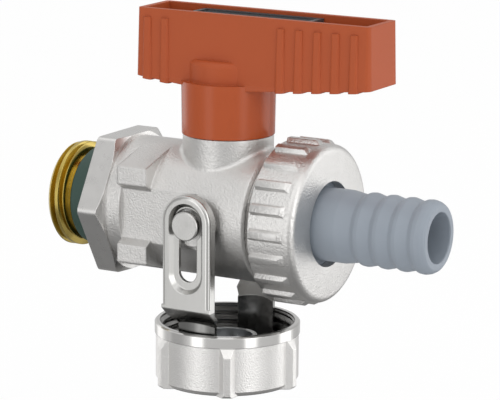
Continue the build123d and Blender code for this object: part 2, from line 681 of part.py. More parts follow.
# Dark plate in the top of the handle, with a plain raised border
with BuildPart() as handle_insert:
    plate_length = INSERT_LEFT + INSERT_RIGHT
    plate_width = 2 * (pocket_half_width - INSERT_GAP)
    plate_middle = (INSERT_RIGHT - INSERT_LEFT) / 2
    with BuildSketch(stem_level(insert_z - INSERT_THICK)):
        with Locations((plate_middle, 0)):
            Rectangle(plate_length, plate_width)
    extrude(amount=INSERT_THICK)
    with BuildSketch(stem_level(insert_z - INSERT_FRAME_HEIGHT)):
        with Locations((plate_middle, 0)):
            Rectangle(plate_length - 2 * INSERT_FRAME_WIDTH, plate_width - 2 * INSERT_FRAME_WIDTH)
    extrude(amount=INSERT_FRAME_HEIGHT, mode=Mode.SUBTRACT)
handle_insert.part.label = "handle_insert"

# Screw that holds the handle on the stem
with BuildPart() as handle_screw:
    with BuildSketch(stem_level(handle_well_z)):
        Circle(HANDLE_SCREW_HEAD_R)
    extrude(amount=HANDLE_SCREW_HEAD_HEIGHT)
    with BuildSketch(stem_level(handle_well_z)):
        Circle(HANDLE_SCREW_R)
    extrude(amount=-HANDLE_SCREW_LENGTH)
    with BuildSketch(stem_level(handle_well_z + HANDLE_SCREW_HEAD_HEIGHT)):
        RegularPolygon(HANDLE_SCREW_SLOT / 2, 6, major_radius=False)
    extrude(amount=-HANDLE_SCREW_HEAD_HEIGHT / 2, mode=Mode.SUBTRACT)
handle_screw.part.label = "handle_screw"

# Flat gasket between the spigot and the hose tail
with BuildPart() as tail_gasket:
    with BuildSketch(station(spigot_end)):
        Circle(TAIL_GASKET_R)
        Circle(WATERWAY_R, mode=Mode.SUBTRACT)
    extrude(amount=TAIL_GASKET_THICK)
tail_gasket.part.label = "tail_gasket"

# Hose tail: flange, smooth stretch, barbs that lean towards the tip
barb_outline = [
    (flange_x, TAIL_FLANGE_R),
    (flange_x + TAIL_FLANGE_THICK, TAIL_FLANGE_R),
    (flange_x + TAIL_FLANGE_THICK, TAIL_COLLAR_R),
    (nut_end, TAIL_COLLAR_R),
    (nut_end, TAIL_R),
    (tail_barb_x - TAIL_TAPER, TAIL_R),
]
for i in range(TAIL_BARBS):
    valley = tail_barb_x + i * TAIL_BARB_PITCH
    peak_r = TAIL_PEAK_R if i < TAIL_BARBS - 1 else TAIL_LIP_R
    barb_outline += [(valley, TAIL_VALLEY_R), (valley + TAIL_BARB_RISE, peak_r)]
barb_outline += [
    (tail_tip_x - TAIL_TIP_SLOPE, TAIL_LIP_R),
    (tail_tip_x, TAIL_TIP_R),
]
with BuildPart() as hose_tail:
    with BuildSketch(Plane.XY):
        with BuildLine():
            Polyline(turned(barb_outline), close=True)
        make_face()
    revolve(axis=Axis.X)
    with BuildSketch(station(flange_x)):
        Circle(TAIL_BORE_R)
    extrude(amount=tail_tip_x - flange_x, mode=Mode.SUBTRACT)
hose_tail.part.label = "hose_tail"

# Union nut
with BuildPart() as union_nut:
    with BuildSketch(Plane.XY):
        with BuildLine():
            Polyline(turned([(nut_start, nut_r), (nut_end, nut_r)]), close=True)
        make_face()
    revolve(axis=Axis.X)
    fillet(union_nut.edges().filter_by(GeomType.CIRCLE).group_by(Axis.X)[-1], NUT_FRONT_ROUND)
    rib_x = nut_start + NUT_RIB_START
    with BuildSketch(station(rib_x)):
        with PolarLocations((nut_r + NUT_RIB_HEIGHT) / 2, NUT_RIBS, start_angle=0):
            Rectangle(nut_r + NUT_RIB_HEIGHT, NUT_RIB_WIDTH)
    extrude(amount=NUT_RIB_LENGTH)
    with BuildSketch(Plane.XY):
        with BuildLine():
            Polyline(turned([
                (nut_start, nut_r + NUT_RIB_HEIGHT),
                (rib_x + NUT_RIB_LENGTH - 2 * NUT_RIB_HEIGHT, nut_r + NUT_RIB_HEIGHT),
                (rib_x + NUT_RIB_LENGTH, nut_r - NUT_RIB_HEIGHT / 2),
                (nut_end, nut_r - NUT_RIB_HEIGHT / 2),
            ]), close=True)
        make_face()
    revolve(axis=Axis.X, mode=Mode.INTERSECT)
    with BuildSketch(station(nut_start)):
        Circle(NUT_BORE_R)
    extrude(amount=nut_wall_x - nut_start, mode=Mode.SUBTRACT)
    with BuildSketch(station(nut_wall_x)):
        Circle(NUT_HOLE_R)
    extrude(amount=NUT_WALL, mode=Mode.SUBTRACT)
union_nut.part.label = "union_nut"


def long_hole(half_width, top_z, bottom_z):
    """Upright slot shape with round ends, from its upper to its lower centre."""
    with Locations((0, (top_z + bottom_z) / 2)):
        SlotCenterToCenter(top_z - bottom_z, 2 * half_width, rotation=90)


def tongue(half_width, bottom_z):
    """Leg outline: round above the pin, straight down to bottom_z."""
    with Locations((0, BAIL_ROUND_Z)):
        Circle(half_width)
    with Locations((0, (BAIL_ROUND_Z + bottom_z) / 2)):
        Rectangle(2 * half_width, BAIL_ROUND_Z - bottom_z)


# Bail: two pan-shaped legs with keyholes, joggled in to narrow legs, and the base strap
rim_end_z = joggle_z(bail_front_y - BAIL_DEPTH)
bend_lift = SHEET * (sqrt(1 + JOGGLE_SLOPE ** 2) - JOGGLE_SLOPE)
fold_top_z = BAIL_LEG_END_Z + bend_lift + FACE_GAP
emboss_bottom = EMBOSS_BOTTOM_Z + EMBOSS_HALF_WIDTH
LEG_FACE = side_plane(bail_front_y, -1)

with BuildPart() as bail_leg:
    # Pan of the front leg, open at the back
    with BuildSketch(LEG_FACE):
        tongue(BAIL_HALF_WIDTH, BAIL_LEG_END_Z - 2 * BAIL_DEPTH)
    extrude(amount=-BAIL_DEPTH)
    fillet(bail_leg.faces().sort_by(Axis.Y)[0].edges(), BAIL_EDGE_R)
    with BuildSketch(LEG_FACE.offset(-SHEET)):
        tongue(BAIL_HALF_WIDTH - SHEET, BAIL_LEG_END_Z - 3 * BAIL_DEPTH)
    extrude(amount=-BAIL_DEPTH, mode=Mode.SUBTRACT)

    # Its lower end follows the joggle's slope
    with BuildSketch(station(BALL_X)):
        with BuildLine():
            Polyline(
                (0, joggle_z(0)),
                (-2 * bail_front_y, joggle_z(2 * bail_front_y)),
                (-2 * bail_front_y, joggle_z(0)),
                close=True,
            )
        make_face()
    extrude(amount=bail_front_y, both=True, mode=Mode.SUBTRACT)

    # Sunk panel round the keyhole
    with BuildSketch(LEG_FACE.offset(-SHEET)):
        long_hole(EMBOSS_HALF_WIDTH, BAIL_ROUND_Z, emboss_bottom)
    extrude(amount=-EMBOSS_DEPTH)
    with BuildSketch(LEG_FACE):
        long_hole(EMBOSS_HALF_WIDTH, BAIL_ROUND_Z, emboss_bottom)
    extrude(amount=-EMBOSS_DEPTH, taper=EMBOSS_TAPER, mode=Mode.SUBTRACT)
    with BuildSketch(LEG_FACE):
        Circle(KEYHOLE_R)
        long_hole(SLOT_HALF_WIDTH, 0, SLOT_BOTTOM_Z + SLOT_HALF_WIDTH)
    extrude(amount=-BAIL_DEPTH, mode=Mode.SUBTRACT)

joggle_inner_y = lower_leg_r - 3 * SHEET
with BuildPart() as bail_joggle:
    # Flat slope below the front leg, from its face to the narrow leg's inner side
    with BuildSketch(station(BALL_X)):
        with BuildLine():
            Polyline(
                (-bail_front_y, fold_top_z),
                (-bail_front_y, BAIL_LEG_END_Z),
                (-joggle_inner_y, joggle_z(joggle_inner_y)),
                (-joggle_inner_y, joggle_z(joggle_inner_y) + joggle_rise),
                (SHEET - bail_front_y, joggle_z(bail_front_y - SHEET) + joggle_rise),
                (SHEET - bail_front_y, fold_top_z),
                close=True,
            )
        make_face()
    extrude(amount=BAIL_HALF_WIDTH, both=True)
    with BuildSketch(stem_level(strap_top)):
        Circle(lower_leg_r - SHEET)
    extrude(amount=-strap_top, mode=Mode.SUBTRACT)

with BuildPart() as bail_cup:
    # Narrow legs and base, turned about the cap's axis, up to the slopes
    with BuildSketch(STEM_PLANE):
        with BuildLine():
            Polyline(
                at_stem(0, strap_bottom),
                at_stem(lower_leg_r, strap_bottom),
                at_stem(lower_leg_r, BAIL_LEG_END_Z),
                at_stem(lower_leg_r - SHEET, BAIL_LEG_END_Z),
                at_stem(lower_leg_r - SHEET, strap_top),
                at_stem(0, strap_top),
                close=True,
            )
        make_face()
        fillet(vertices().group_by(Axis.Y)[0].sort_by(Axis.X)[-1], LOWER_LEG_BEND_R + SHEET)
        fillet(vertices().filter_by_position(
            Axis.Y, strap_top - FIT_GAP, strap_top + FIT_GAP
        ).sort_by(Axis.X)[-1], LOWER_LEG_BEND_R)
    revolve(axis=STEM_AXIS)
    with BuildSketch(station(BALL_X)):
        with BuildLine():
            Polyline(
                (0, joggle_z(0) + joggle_rise),
                (-2 * bail_front_y, joggle_z(2 * bail_front_y) + joggle_rise),
                (-2 * bail_front_y, 2 * bail_front_y),
                (2 * bail_front_y, 2 * bail_front_y),
                (2 * bail_front_y, joggle_z(2 * bail_front_y) + joggle_rise),
                close=True,
            )
        make_face()
    extrude(amount=bail_front_y, both=True, mode=Mode.SUBTRACT)

with BuildPart() as bail_fold:
    # Slopes, narrow legs and base together, trimmed to the strap's width
    add(bail_joggle.part)
    mirror(about=Plane.XZ)
    add(bail_cup.part)
    with BuildSketch(STEM_PLANE):
        with BuildLine():
            Polyline(
                at_stem(BAIL_HALF_WIDTH, fold_top_z + SHEET),
                at_stem(BAIL_HALF_WIDTH, rim_end_z),
                at_stem(LOWER_LEG_HALF_WIDTH, joggle_end_z),
                at_stem(LOWER_LEG_HALF_WIDTH, strap_bottom - SHEET),
                at_stem(-LOWER_LEG_HALF_WIDTH, strap_bottom - SHEET),
                at_stem(-LOWER_LEG_HALF_WIDTH, joggle_end_z),
                at_stem(-BAIL_HALF_WIDTH, rim_end_z),
                at_stem(-BAIL_HALF_WIDTH, fold_top_z + SHEET),
                close=True,
            )
        make_face()
    extrude(amount=2 * bail_front_y, both=True, mode=Mode.INTERSECT)
    with BuildSketch(stem_level(strap_bottom)):
        Circle(RIVET_R + FIT_GAP)
    extrude(amount=SHEET, mode=Mode.SUBTRACT)

with BuildPart() as bail:
    add(bail_leg.part)
    mirror(about=Plane.XZ)
    add(bail_fold.part)
bail.part.label = "bail"


def bail_pin(side, label):
    """Headed pin: its neck fits the keyhole's slot, its shank sits in the body."""
    neck_y = pin_face_y - PIN_HEAD_THICK
    with BuildPart() as pin:
        with BuildSketch(side_plane(pin_face_y, side)):
            Circle(PIN_HEAD_R)
        extrude(amount=-PIN_HEAD_THICK)
        chamfer(pin.edges().sort_by(Axis.Y)[-1 if side > 0 else 0], PIN_EDGE)
        with BuildSketch(side_plane(neck_y, side)):
            Circle(PIN_NECK_R)
        extrude(amount=pin_boss_y - neck_y)
        with BuildSketch(side_plane(pin_boss_y, side)):
            Circle(PIN_HOLE_R)
        extrude(amount=FIT_GAP - PIN_HOLE_DEPTH)
    pin.part.label = label
    return pin


bail_pin_front = bail_pin(-1, "bail_pin_front")
bail_pin_rear = bail_pin(1, "bail_pin_rear")

# Cap
counterbore_z = cap_bottom_z + CAP_COUNTERBORE_DEPTH
band_bottom = cap_rim_z - CAP_BAND_HEIGHT
rib_root_r = cap_wall_r - CAP_FOOT_EDGE
rib_flare = (CAP_RIB_FOOT_WIDTH - CAP_RIB_TOP_WIDTH) / 2 / (cap_rib_r - cap_wall_r)
rib_root_half = CAP_RIB_TOP_WIDTH / 2 + rib_flare * (cap_rib_r - rib_root_r)
with BuildSketch() as cap_rib_section:
    with BuildLine():
        Polyline(
            (rib_root_r, -rib_root_half),
            (cap_rib_r, -CAP_RIB_TOP_WIDTH / 2),
            (cap_rib_r, CAP_RIB_TOP_WIDTH / 2),
            (rib_root_r, rib_root_half),
            close=True,
        )
    make_face()
with BuildPart() as cap_ribs:
    # Bars with sloping sides round the cap, sloped at their upper ends
    with BuildSketch(stem_level(cap_bottom_z)):
        with PolarLocations(0, CAP_RIBS):
            add(cap_rib_section.sketch)
    extrude(amount=band_bottom - cap_bottom_z)
    with BuildSketch(STEM_PLANE):
        with BuildLine():
            Polyline(
                at_stem(0, cap_bottom_z),
                at_stem(cap_rib_r - CAP_FOOT_EDGE / 2, cap_bottom_z),
                at_stem(cap_rib_r, cap_bottom_z + CAP_FOOT_EDGE / 2),
                at_stem(cap_rib_r, band_bottom - CAP_RIB_TOP_SLOPE),
                at_stem(cap_band_r, band_bottom),
                at_stem(0, band_bottom),
                close=True,
            )
        make_face()
    revolve(axis=STEM_AXIS, mode=Mode.INTERSECT)
with BuildPart() as cap:
    with BuildSketch(STEM_PLANE):
        with BuildLine():
            Polyline(
                at_stem(0, cap_bottom_z),
                at_stem(cap_wall_r - CAP_FOOT_EDGE, cap_bottom_z),
                at_stem(cap_wall_r, cap_bottom_z + CAP_FOOT_EDGE),
                at_stem(cap_wall_r, band_bottom),
                at_stem(cap_band_r, band_bottom),
                at_stem(cap_band_r, cap_rim_z - CAP_RIM_EDGE),
                at_stem(cap_band_r - CAP_RIM_EDGE, cap_rim_z),
                at_stem(0, cap_rim_z),
                close=True,
            )
        make_face()
    revolve(axis=STEM_AXIS)
    add(cap_ribs.part)
    with BuildSketch(stem_level(cap_floor_z)):
        Circle(CAP_BORE_R)
    extrude(amount=cap_rim_z - cap_floor_z, mode=Mode.SUBTRACT)
    with BuildSketch(stem_level(cap_bottom_z)):
        Circle(RIVET_FOOT_R + FACE_GAP)
    extrude(amount=CAP_COUNTERBORE_DEPTH, mode=Mode.SUBTRACT)
    with BuildSketch(stem_level(cap_bottom_z)):
        Circle(RIVET_R + RUN_GAP)
    extrude(amount=cap_floor_z - cap_bottom_z, mode=Mode.SUBTRACT)
cap.part.label = "cap"

# Round cup on the bail's base
with BuildPart() as cap_hub:
    with BuildSketch(stem_level(strap_top)):
        Circle(HUB_R)
    extrude(amount=HUB_HEIGHT)
    with BuildSketch(stem_level(strap_top + HUB_FLOOR)):
        Circle(HUB_R - HUB_WALL)
    extrude(amount=HUB_HEIGHT - HUB_FLOOR, mode=Mode.SUBTRACT)
    with BuildSketch(stem_level(strap_top)):
        Circle(RIVET_R + FIT_GAP)
    extrude(amount=HUB_FLOOR, mode=Mode.SUBTRACT)
cap_hub.part.label = "cap_hub"

# Rubber ring round the cup
with BuildPart() as cap_gasket:
    with BuildSketch(stem_level(strap_top)):
        Circle(lower_leg_r - SHEET - LOWER_LEG_BEND_R)
        Circle(HUB_R + FIT_GAP, mode=Mode.SUBTRACT)
    extrude(amount=CAP_GASKET_THICK)
cap_gasket.part.label = "cap_gasket"

# Rivet through cap, strap and cup
with BuildPart() as cap_rivet:
    rivet_head_z = strap_top + HUB_FLOOR
    rivet_foot_z = counterbore_z - RUN_GAP
    with BuildSketch(stem_level(rivet_foot_z)):
        Circle(RIVET_R)
    extrude(amount=rivet_head_z - rivet_foot_z)
    with BuildSketch(stem_level(rivet_head_z)):
        Circle(RIVET_HEAD_R)
    extrude(amount=RIVET_HEAD_THICK)
    with BuildSketch(stem_level(rivet_foot_z)):
        Circle(RIVET_FOOT_R)
    extrude(amount=-RIVET_FOOT_THICK)
cap_rivet.part.label = "cap_rivet"

os.makedirs("parts", exist_ok=True)
PIECES = [
    valve_body, inlet_nipple, inlet_seal, nipple_seal, seat_ring_inlet, seat_ring_outlet,
    ball, stem, stem_washer, stem_o_ring_lower, stem_o_ring_upper,
    handle, handle_insert, handle_screw,
    tail_gasket, hose_tail, union_nut,
    bail, bail_pin_front, bail_pin_rear,
    cap, cap_hub, cap_gasket, cap_rivet,
]
for piece in PIECES:
    export_step(piece.part, f"parts/{piece.part.label}.step")
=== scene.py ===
"""Drain cock: finishes, threads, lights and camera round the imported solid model."""

from math import cos, pi, radians, sin

import bpy
from mathutils import Matrix, Vector


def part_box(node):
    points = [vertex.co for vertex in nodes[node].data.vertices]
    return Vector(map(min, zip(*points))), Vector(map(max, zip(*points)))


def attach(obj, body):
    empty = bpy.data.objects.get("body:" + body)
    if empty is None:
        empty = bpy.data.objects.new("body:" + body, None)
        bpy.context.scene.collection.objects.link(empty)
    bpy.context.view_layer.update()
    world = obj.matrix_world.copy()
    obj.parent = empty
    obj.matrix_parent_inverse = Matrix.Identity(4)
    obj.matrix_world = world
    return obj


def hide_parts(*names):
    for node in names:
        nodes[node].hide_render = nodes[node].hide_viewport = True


bl_info = {
    "name": "Drain Cock Dressing",
    "version": (1, 0, 0),
    "blender": (4, 5, 0),
    "location": "View3D > Sidebar > Drain Cock",
    "description": "Dresses the solid model of a drain cock with threads, finishes and a studio",
    "category": "Object",
}

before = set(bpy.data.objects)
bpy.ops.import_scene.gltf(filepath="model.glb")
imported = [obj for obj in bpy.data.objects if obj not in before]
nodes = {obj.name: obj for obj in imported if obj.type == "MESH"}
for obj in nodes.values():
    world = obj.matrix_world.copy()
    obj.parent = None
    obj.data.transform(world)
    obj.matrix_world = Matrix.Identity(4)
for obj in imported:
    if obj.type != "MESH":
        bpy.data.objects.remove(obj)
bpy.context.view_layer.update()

MM = 0.001
FULL_TURN = 2 * pi
SMOOTH_ANGLE = radians(30)
RIBS = 20

# A thread's ridge: steps in one turn, half the width of its foot as a share of the pitch,
# and how far the foot sinks into the root as a share of the ridge's height
THREAD_STEPS = 96
THREAD_FOOT = 0.46
THREAD_SUNK = 0.12

# The floor's width in metres, and the width of the camera's sensor in millimetres
FLOOR_SIZE = 6
SENSOR_WIDTH = 36

# Places taken from the solid model, in metres
STEM_X = sum(corner.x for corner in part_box("stem")) / 2
HEX_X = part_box("valve_body")[0].x
SPIGOT_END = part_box("valve_body")[1].x
NIPPLE_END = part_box("inlet_nipple")[1].x
THREAD_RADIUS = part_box("inlet_nipple")[1].z
CAP_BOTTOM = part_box("cap")[0].z
CAP_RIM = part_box("cap")[1].z
TAIL_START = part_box("hose_tail")[0].x
TAIL_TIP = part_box("hose_tail")[1].x
TAIL_FLANGE_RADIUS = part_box("hose_tail")[1].z
NUT_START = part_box("union_nut")[0].x
NUT_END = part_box("union_nut")[1].x
RIB_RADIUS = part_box("union_nut")[1].z


def length(name, description, millimetres):
    """A property that holds a length, given in millimetres."""
    return bpy.props.FloatProperty(
        name=name, description=description, default=millimetres * MM, precision=5, unit="LENGTH"
    )


def angle(name, description, degrees):
    """A property that holds an angle, given in degrees."""
    return bpy.props.FloatProperty(
        name=name, description=description, default=radians(degrees), subtype="ANGLE"
    )


def number(name, description, default):
    """A property that holds a plain number."""
    return bpy.props.FloatProperty(name=name, description=description, default=default)


def colour(name, description, red, green, blue):
    """A property that holds a surface colour."""
    return bpy.props.FloatVectorProperty(
        name=name, description=description, default=(red, green, blue),
        size=3, min=0, max=1, subtype="COLOR",
    )


class DrainCockSizes(bpy.types.PropertyGroup):
    """Sizes of the details that the solid model leaves plain."""

    thread_pitch: length("Thread pitch", "Pitch of the inlet and outlet threads", 1.814)
    inlet_root: length("Inlet thread root", "Root radius of the inlet thread", 9.32)
    inlet_thread: length("Inlet thread length", "Length of the inlet thread with its turned relief", 4.7)
    relief_start: length("Relief start", "Where the turned relief behind the inlet thread starts", 3.65)
    relief_radius: length("Relief radius", "Radius of the turned relief behind the inlet thread", 8.3)
    inlet_groove: length("Seal groove", "Radius of the groove that holds the sealing ring", 8.2)
    nipple_radius: length("Nipple radius", "Radius of the nipple inside the body", 10.0)
    waterway: length("Waterway", "Radius of the waterway", 5.0)
    socket_flats: length("Socket", "Across flats of the hexagon socket in the inlet", 11.0)
    socket_depth: length("Socket depth", "Depth of the hexagon socket", 7.0)
    cast_start: length("Cast start", "From the hex's left face to the cast surface behind it", 5.0)
    panel_reach: length("Panel reach", "From the stem's axis back to the coarser cast panel", 5.5)
    spigot_start: length("Spigot start", "Where the outlet spigot leaves the body", 46.6)
    spigot_root: length("Spigot root", "Root radius of the outlet thread", 12.05)
    spigot_crest: length("Spigot crest", "Crest radius of the outlet thread", 13.2)
    spigot_groove: length("Spigot groove", "Distance of the spigot's side grooves from the axis", 10.6)
    spigot_groove_height: length("Spigot groove height", "Half height of the spigot's side grooves", 5.0)
    cap_root: length("Cap thread root", "Root radius of the thread in the cap", 13.3)
    cap_crest: length("Cap thread crest", "Crest radius of the thread in the cap", 12.75)
    cap_floor: length("Cap floor", "Height of the cap's floor above its bottom", 2.4)
    cap_band: length("Cap band", "Height of the polished band at the cap's rim", 2.35)
    # How far out from the thread's root the cap's painted shade reaches
    cap_shade_reach: length("Cap liner", "From the cap thread's root out to the bright finish", 0.12)
    tail_radius: length("Tail radius", "Radius of the hose tail's smooth stretch", 7.1)
    tail_taper: length("Tail taper", "From the end of the smooth stretch to the first valley", 3.4)
    tail_flange: length("Tail flange", "Thickness of the hose tail's flange", 2.2)
    tail_bore: length("Tail bore", "Radius of the hose tail's bore", 4.85)
    tail_valley: length("Barb valley", "Radius between the barbs", 6.55)
    tail_peak: length("Barb peak", "Radius at the barbs' peaks", 7.15)
    barb_start: length("First barb", "Where the first valley is", 66.1)
    barb_pitch: length("Barb pitch", "Distance from barb to barb", 4.0)
    barb_rise: length("Barb rise", "Length of a barb's steep side", 1.1)
    nut_radius: length("Nut radius", "Radius of the union nut between its ribs", 15.4)
    nut_bore: length("Nut bore", "Radius of the nut's bore", 13.32)
    nut_hole: length("Nut hole", "Radius of the hole that the hose tail passes", 8.3)
    nut_wall: length("Nut wall", "Thickness of the nut's front wall", 2.0)
    nut_round: length("Nut rounding", "Rounding of the nut's front edge", 1.4)
    rib_start: length("Rib start", "From the nut's left end to its ribs", 0.4)
    rib_length: length("Rib length", "Length of the nut's ribs at their feet", 7.6)
    rib_foot: length("Rib foot", "Width of a rib at its foot", 2.6)
    rib_top: length("Rib top", "Width of a rib at its top", 1.45)
    sleeve_top: length("Sleeve top", "Height where the handle's sleeve meets its bar", 26.3)
    # Below this height the bail gets painted shade
    bail_fold: length("Bail fold", "Height where the bail folds in to its narrow legs", -16.8)
    fine_round: length("Fine rounding", "Rounding of machined and moulded edges", 0.14)
    cast_round: length("Cast rounding", "Rounding of a casting's edges", 0.5)


class DrainCockColours(bpy.types.PropertyGroup):
    """Colours of the finishes."""

    plating: colour("Plating", "Nickel plating on castings", 0.7, 0.69, 0.675)
    steel: colour("Steel", "Polished bail, pins and ball", 0.55, 0.545, 0.53)
    zinc: colour("Zinc", "Zinc-plated hub, rivet and screw", 0.52, 0.53, 0.54)
    brass: colour("Brass", "Turned brass", 0.6, 0.46, 0.13)
    orange: colour("Orange", "Moulded handle", 0.395, 0.076, 0.021)
    hose_grey: colour("Hose grey", "Moulded hose tail", 0.265, 0.3, 0.345)
    seal_green: colour("Seal green", "Self-sealing ring", 0.025, 0.062, 0.048)
    insert_grey: colour("Insert grey", "Plate in the handle", 0.045, 0.05, 0.055)
    rubber: colour("Rubber", "O-rings and gaskets", 0.02, 0.02, 0.02)
    seat: colour("Seat", "Seats and washer", 0.82, 0.82, 0.8)


class DrainCockStudio(bpy.types.PropertyGroup):
    """Lights, floor and camera."""

    azimuth: angle("Azimuth", "Camera's turn round the object", 29.674)
    elevation: angle("Elevation", "Camera's height angle", 12.138)
    roll: angle("Roll", "Camera's roll", 0.407)
    distance: length("Distance", "From the camera to the point it looks at", 539.95)
    target_x: length("Aim along", "The point that the camera looks at, along the waterway", 40.644)
    target_z: length("Aim height", "The point that the camera looks at, above the waterway", 2.742)
    lens: number("Lens", "Focal length in millimetres on a 36 mm sensor", 199.45)
    floor_drop: length("Floor drop", "From the cap's bottom to the floor", 22.0)
    floor_white: number("Floor white", "Share of plain white in the floor that the camera sees", 0.93)
    key_power: number("Key light", "Power of the key light in watts", 0.5)
    fill_power: number("Fill light", "Power of the fill light in watts", 0.6)
    top_power: number("Top light", "Power of the top light in watts", 0.3)
    room_light: number("Room light", "Level of the room's own light", 1.08)


# Modelling helpers
def deselect():
    """Leaves edit mode and deselects everything."""
    if bpy.context.object and bpy.context.object.mode != "OBJECT":
        bpy.ops.object.mode_set(mode="OBJECT")
    bpy.ops.object.select_all(action="DESELECT")


def only(piece):
    """Selects one piece and makes it the active one."""
    deselect()
    piece.select_set(True)
    bpy.context.view_layer.objects.active = piece


def edit(piece):
    """Opens a piece in edit mode with everything selected."""
    only(piece)
    bpy.ops.object.mode_set(mode="EDIT")
    bpy.ops.mesh.select_all(action="SELECT")


def close_edit():
    """Leaves edit mode."""
    bpy.ops.object.mode_set(mode="OBJECT")


def select_vertices(piece, wanted):
    """In edit mode, selects the vertices that wanted(point) picks."""
    bpy.ops.mesh.select_all(action="DESELECT")
    bpy.ops.object.mode_set(mode="OBJECT")
    for vertex in piece.data.vertices:
        vertex.select = bool(wanted(vertex.co))
    bpy.ops.object.mode_set(mode="EDIT")


def clean_up(piece):
    """Merges doubles, turns faces outwards and smooths the shading."""
    edit(piece)
    bpy.ops.mesh.remove_doubles(threshold=0.002 * MM)
    bpy.ops.mesh.normals_make_consistent(inside=False)
    close_edit()
    bpy.ops.object.transform_apply(location=True, rotation=True, scale=True)
    bpy.ops.object.shade_smooth_by_angle(angle=SMOOTH_ANGLE)


def outline(name, points, corner=0.0):
    """A closed wire outline in the XZ plane, drawn point by point; corner rounds all its corners."""
    deselect()
    bpy.ops.mesh.primitive_plane_add(size=MM, location=(0, 0, 0))
    piece = bpy.context.object
    piece.name = name
    bpy.ops.object.mode_set(mode="EDIT")
    bpy.ops.mesh.select_all(action="SELECT")
    bpy.ops.mesh.merge(type="CENTER")
    places = [Vector((along, 0, radius)) for along, radius in points]
    bpy.ops.transform.translate(value=places[0])
    for here, there in zip(places, places[1:]):
        bpy.ops.mesh.extrude_vertices_move(TRANSFORM_OT_translate={"value": there - here})
    ends = (places[0], places[-1])
    select_vertices(piece, lambda point: any((point - end).length < 0.001 * MM for end in ends))
    bpy.ops.mesh.edge_face_add()
    bpy.ops.mesh.select_all(action="SELECT")
    if corner:
        bpy.ops.mesh.bevel(offset=corner, segments=3, affect="VERTICES")
    return piece


def spin(name, points, axis="X", corner=0.0, steps=128):
    """A turned piece: a closed outline spun round the waterway (X) or the stem (Z)."""
    if axis == "X":
        piece = outline(name, points, corner)
        centre, direction = (0, 0, 0), (1, 0, 0)
    else:
        piece = outline(name, [(STEM_X + radius, height) for height, radius in points], corner)
        centre, direction = (STEM_X, 0, 0), (0, 0, 1)
    bpy.ops.mesh.select_all(action="SELECT")
    bpy.ops.mesh.spin(steps=steps, angle=FULL_TURN, center=centre, axis=direction)
    close_edit()
    clean_up(piece)
    return piece


def thread_ridge(name, start, turns, root, crest, pitch, flat=0.09):
    """A right-hand thread's ridge along the waterway, whose crest is two flats wide."""
    foot = THREAD_FOOT * pitch
    top = flat * pitch
    sunk_root = root + THREAD_SUNK * (root - crest)
    piece = outline(name, [
        (start - foot, sunk_root),
        (start - top, crest),
        (start + top, crest),
        (start + foot, sunk_root),
    ])
    close_edit()
    screw = piece.modifiers.new("Screw", "SCREW")
    screw.axis = "X"
    screw.angle = FULL_TURN
    screw.screw_offset = pitch
    screw.iterations = turns
    screw.steps = THREAD_STEPS
    screw.render_steps = THREAD_STEPS
    bpy.ops.object.modifier_apply(modifier=screw.name)
    edit(piece)
    bpy.ops.mesh.fill_holes(sides=0)
    close_edit()
    clean_up(piece)
    return piece


def cut(piece, cutter, operation="DIFFERENCE"):
    """Joins, cuts or trims a piece with a cutter, which is then deleted."""
    only(piece)
    boolean = piece.modifiers.new("Cut", "BOOLEAN")
    boolean.operation = operation
    boolean.solver = "EXACT"
    boolean.object = cutter
    bpy.ops.object.modifier_apply(modifier=boolean.name)
    bpy.data.objects.remove(cutter, do_unlink=True)


def block(name, low, high):
    """A box between two corners, to cut with or to shape further."""
    low, high = Vector(low), Vector(high)
    deselect()
    bpy.ops.mesh.primitive_cube_add(size=1, location=(low + high) / 2)
    piece = bpy.context.object
    piece.name = name
    piece.scale = high - low
    bpy.ops.object.transform_apply(location=True, rotation=True, scale=True)
    return piece


def dress(piece, body, slot, material, *replaced):
    """Gives a new piece its finish, its body and the solids that it stands for."""
    piece.data.materials.clear()
    piece.data.materials.append(material)
    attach(piece, body)
    if replaced:
        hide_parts(*replaced)


def refinish(material, *names):
    """Gives solids of the model a finish."""
    for name in names:
        nodes[name].data.materials.clear()
        nodes[name].data.materials.append(material)


# Material helpers
def arithmetic(tree, operation, first, second):
    """A node for one step of arithmetic on sockets or numbers, in a node tree."""
    made = tree.nodes.new("ShaderNodeMath")
    made.operation = operation
    for socket, value in zip(made.inputs, (first, second)):
        if isinstance(value, (int, float)):
            socket.default_value = value
        else:
            tree.links.new(value, socket)
    return made.outputs["Value"]


def colour_sockets(sockets):
    """The colour sockets among a node's inputs or outputs."""
    return [socket for socket in sockets if socket.type == "RGBA"]


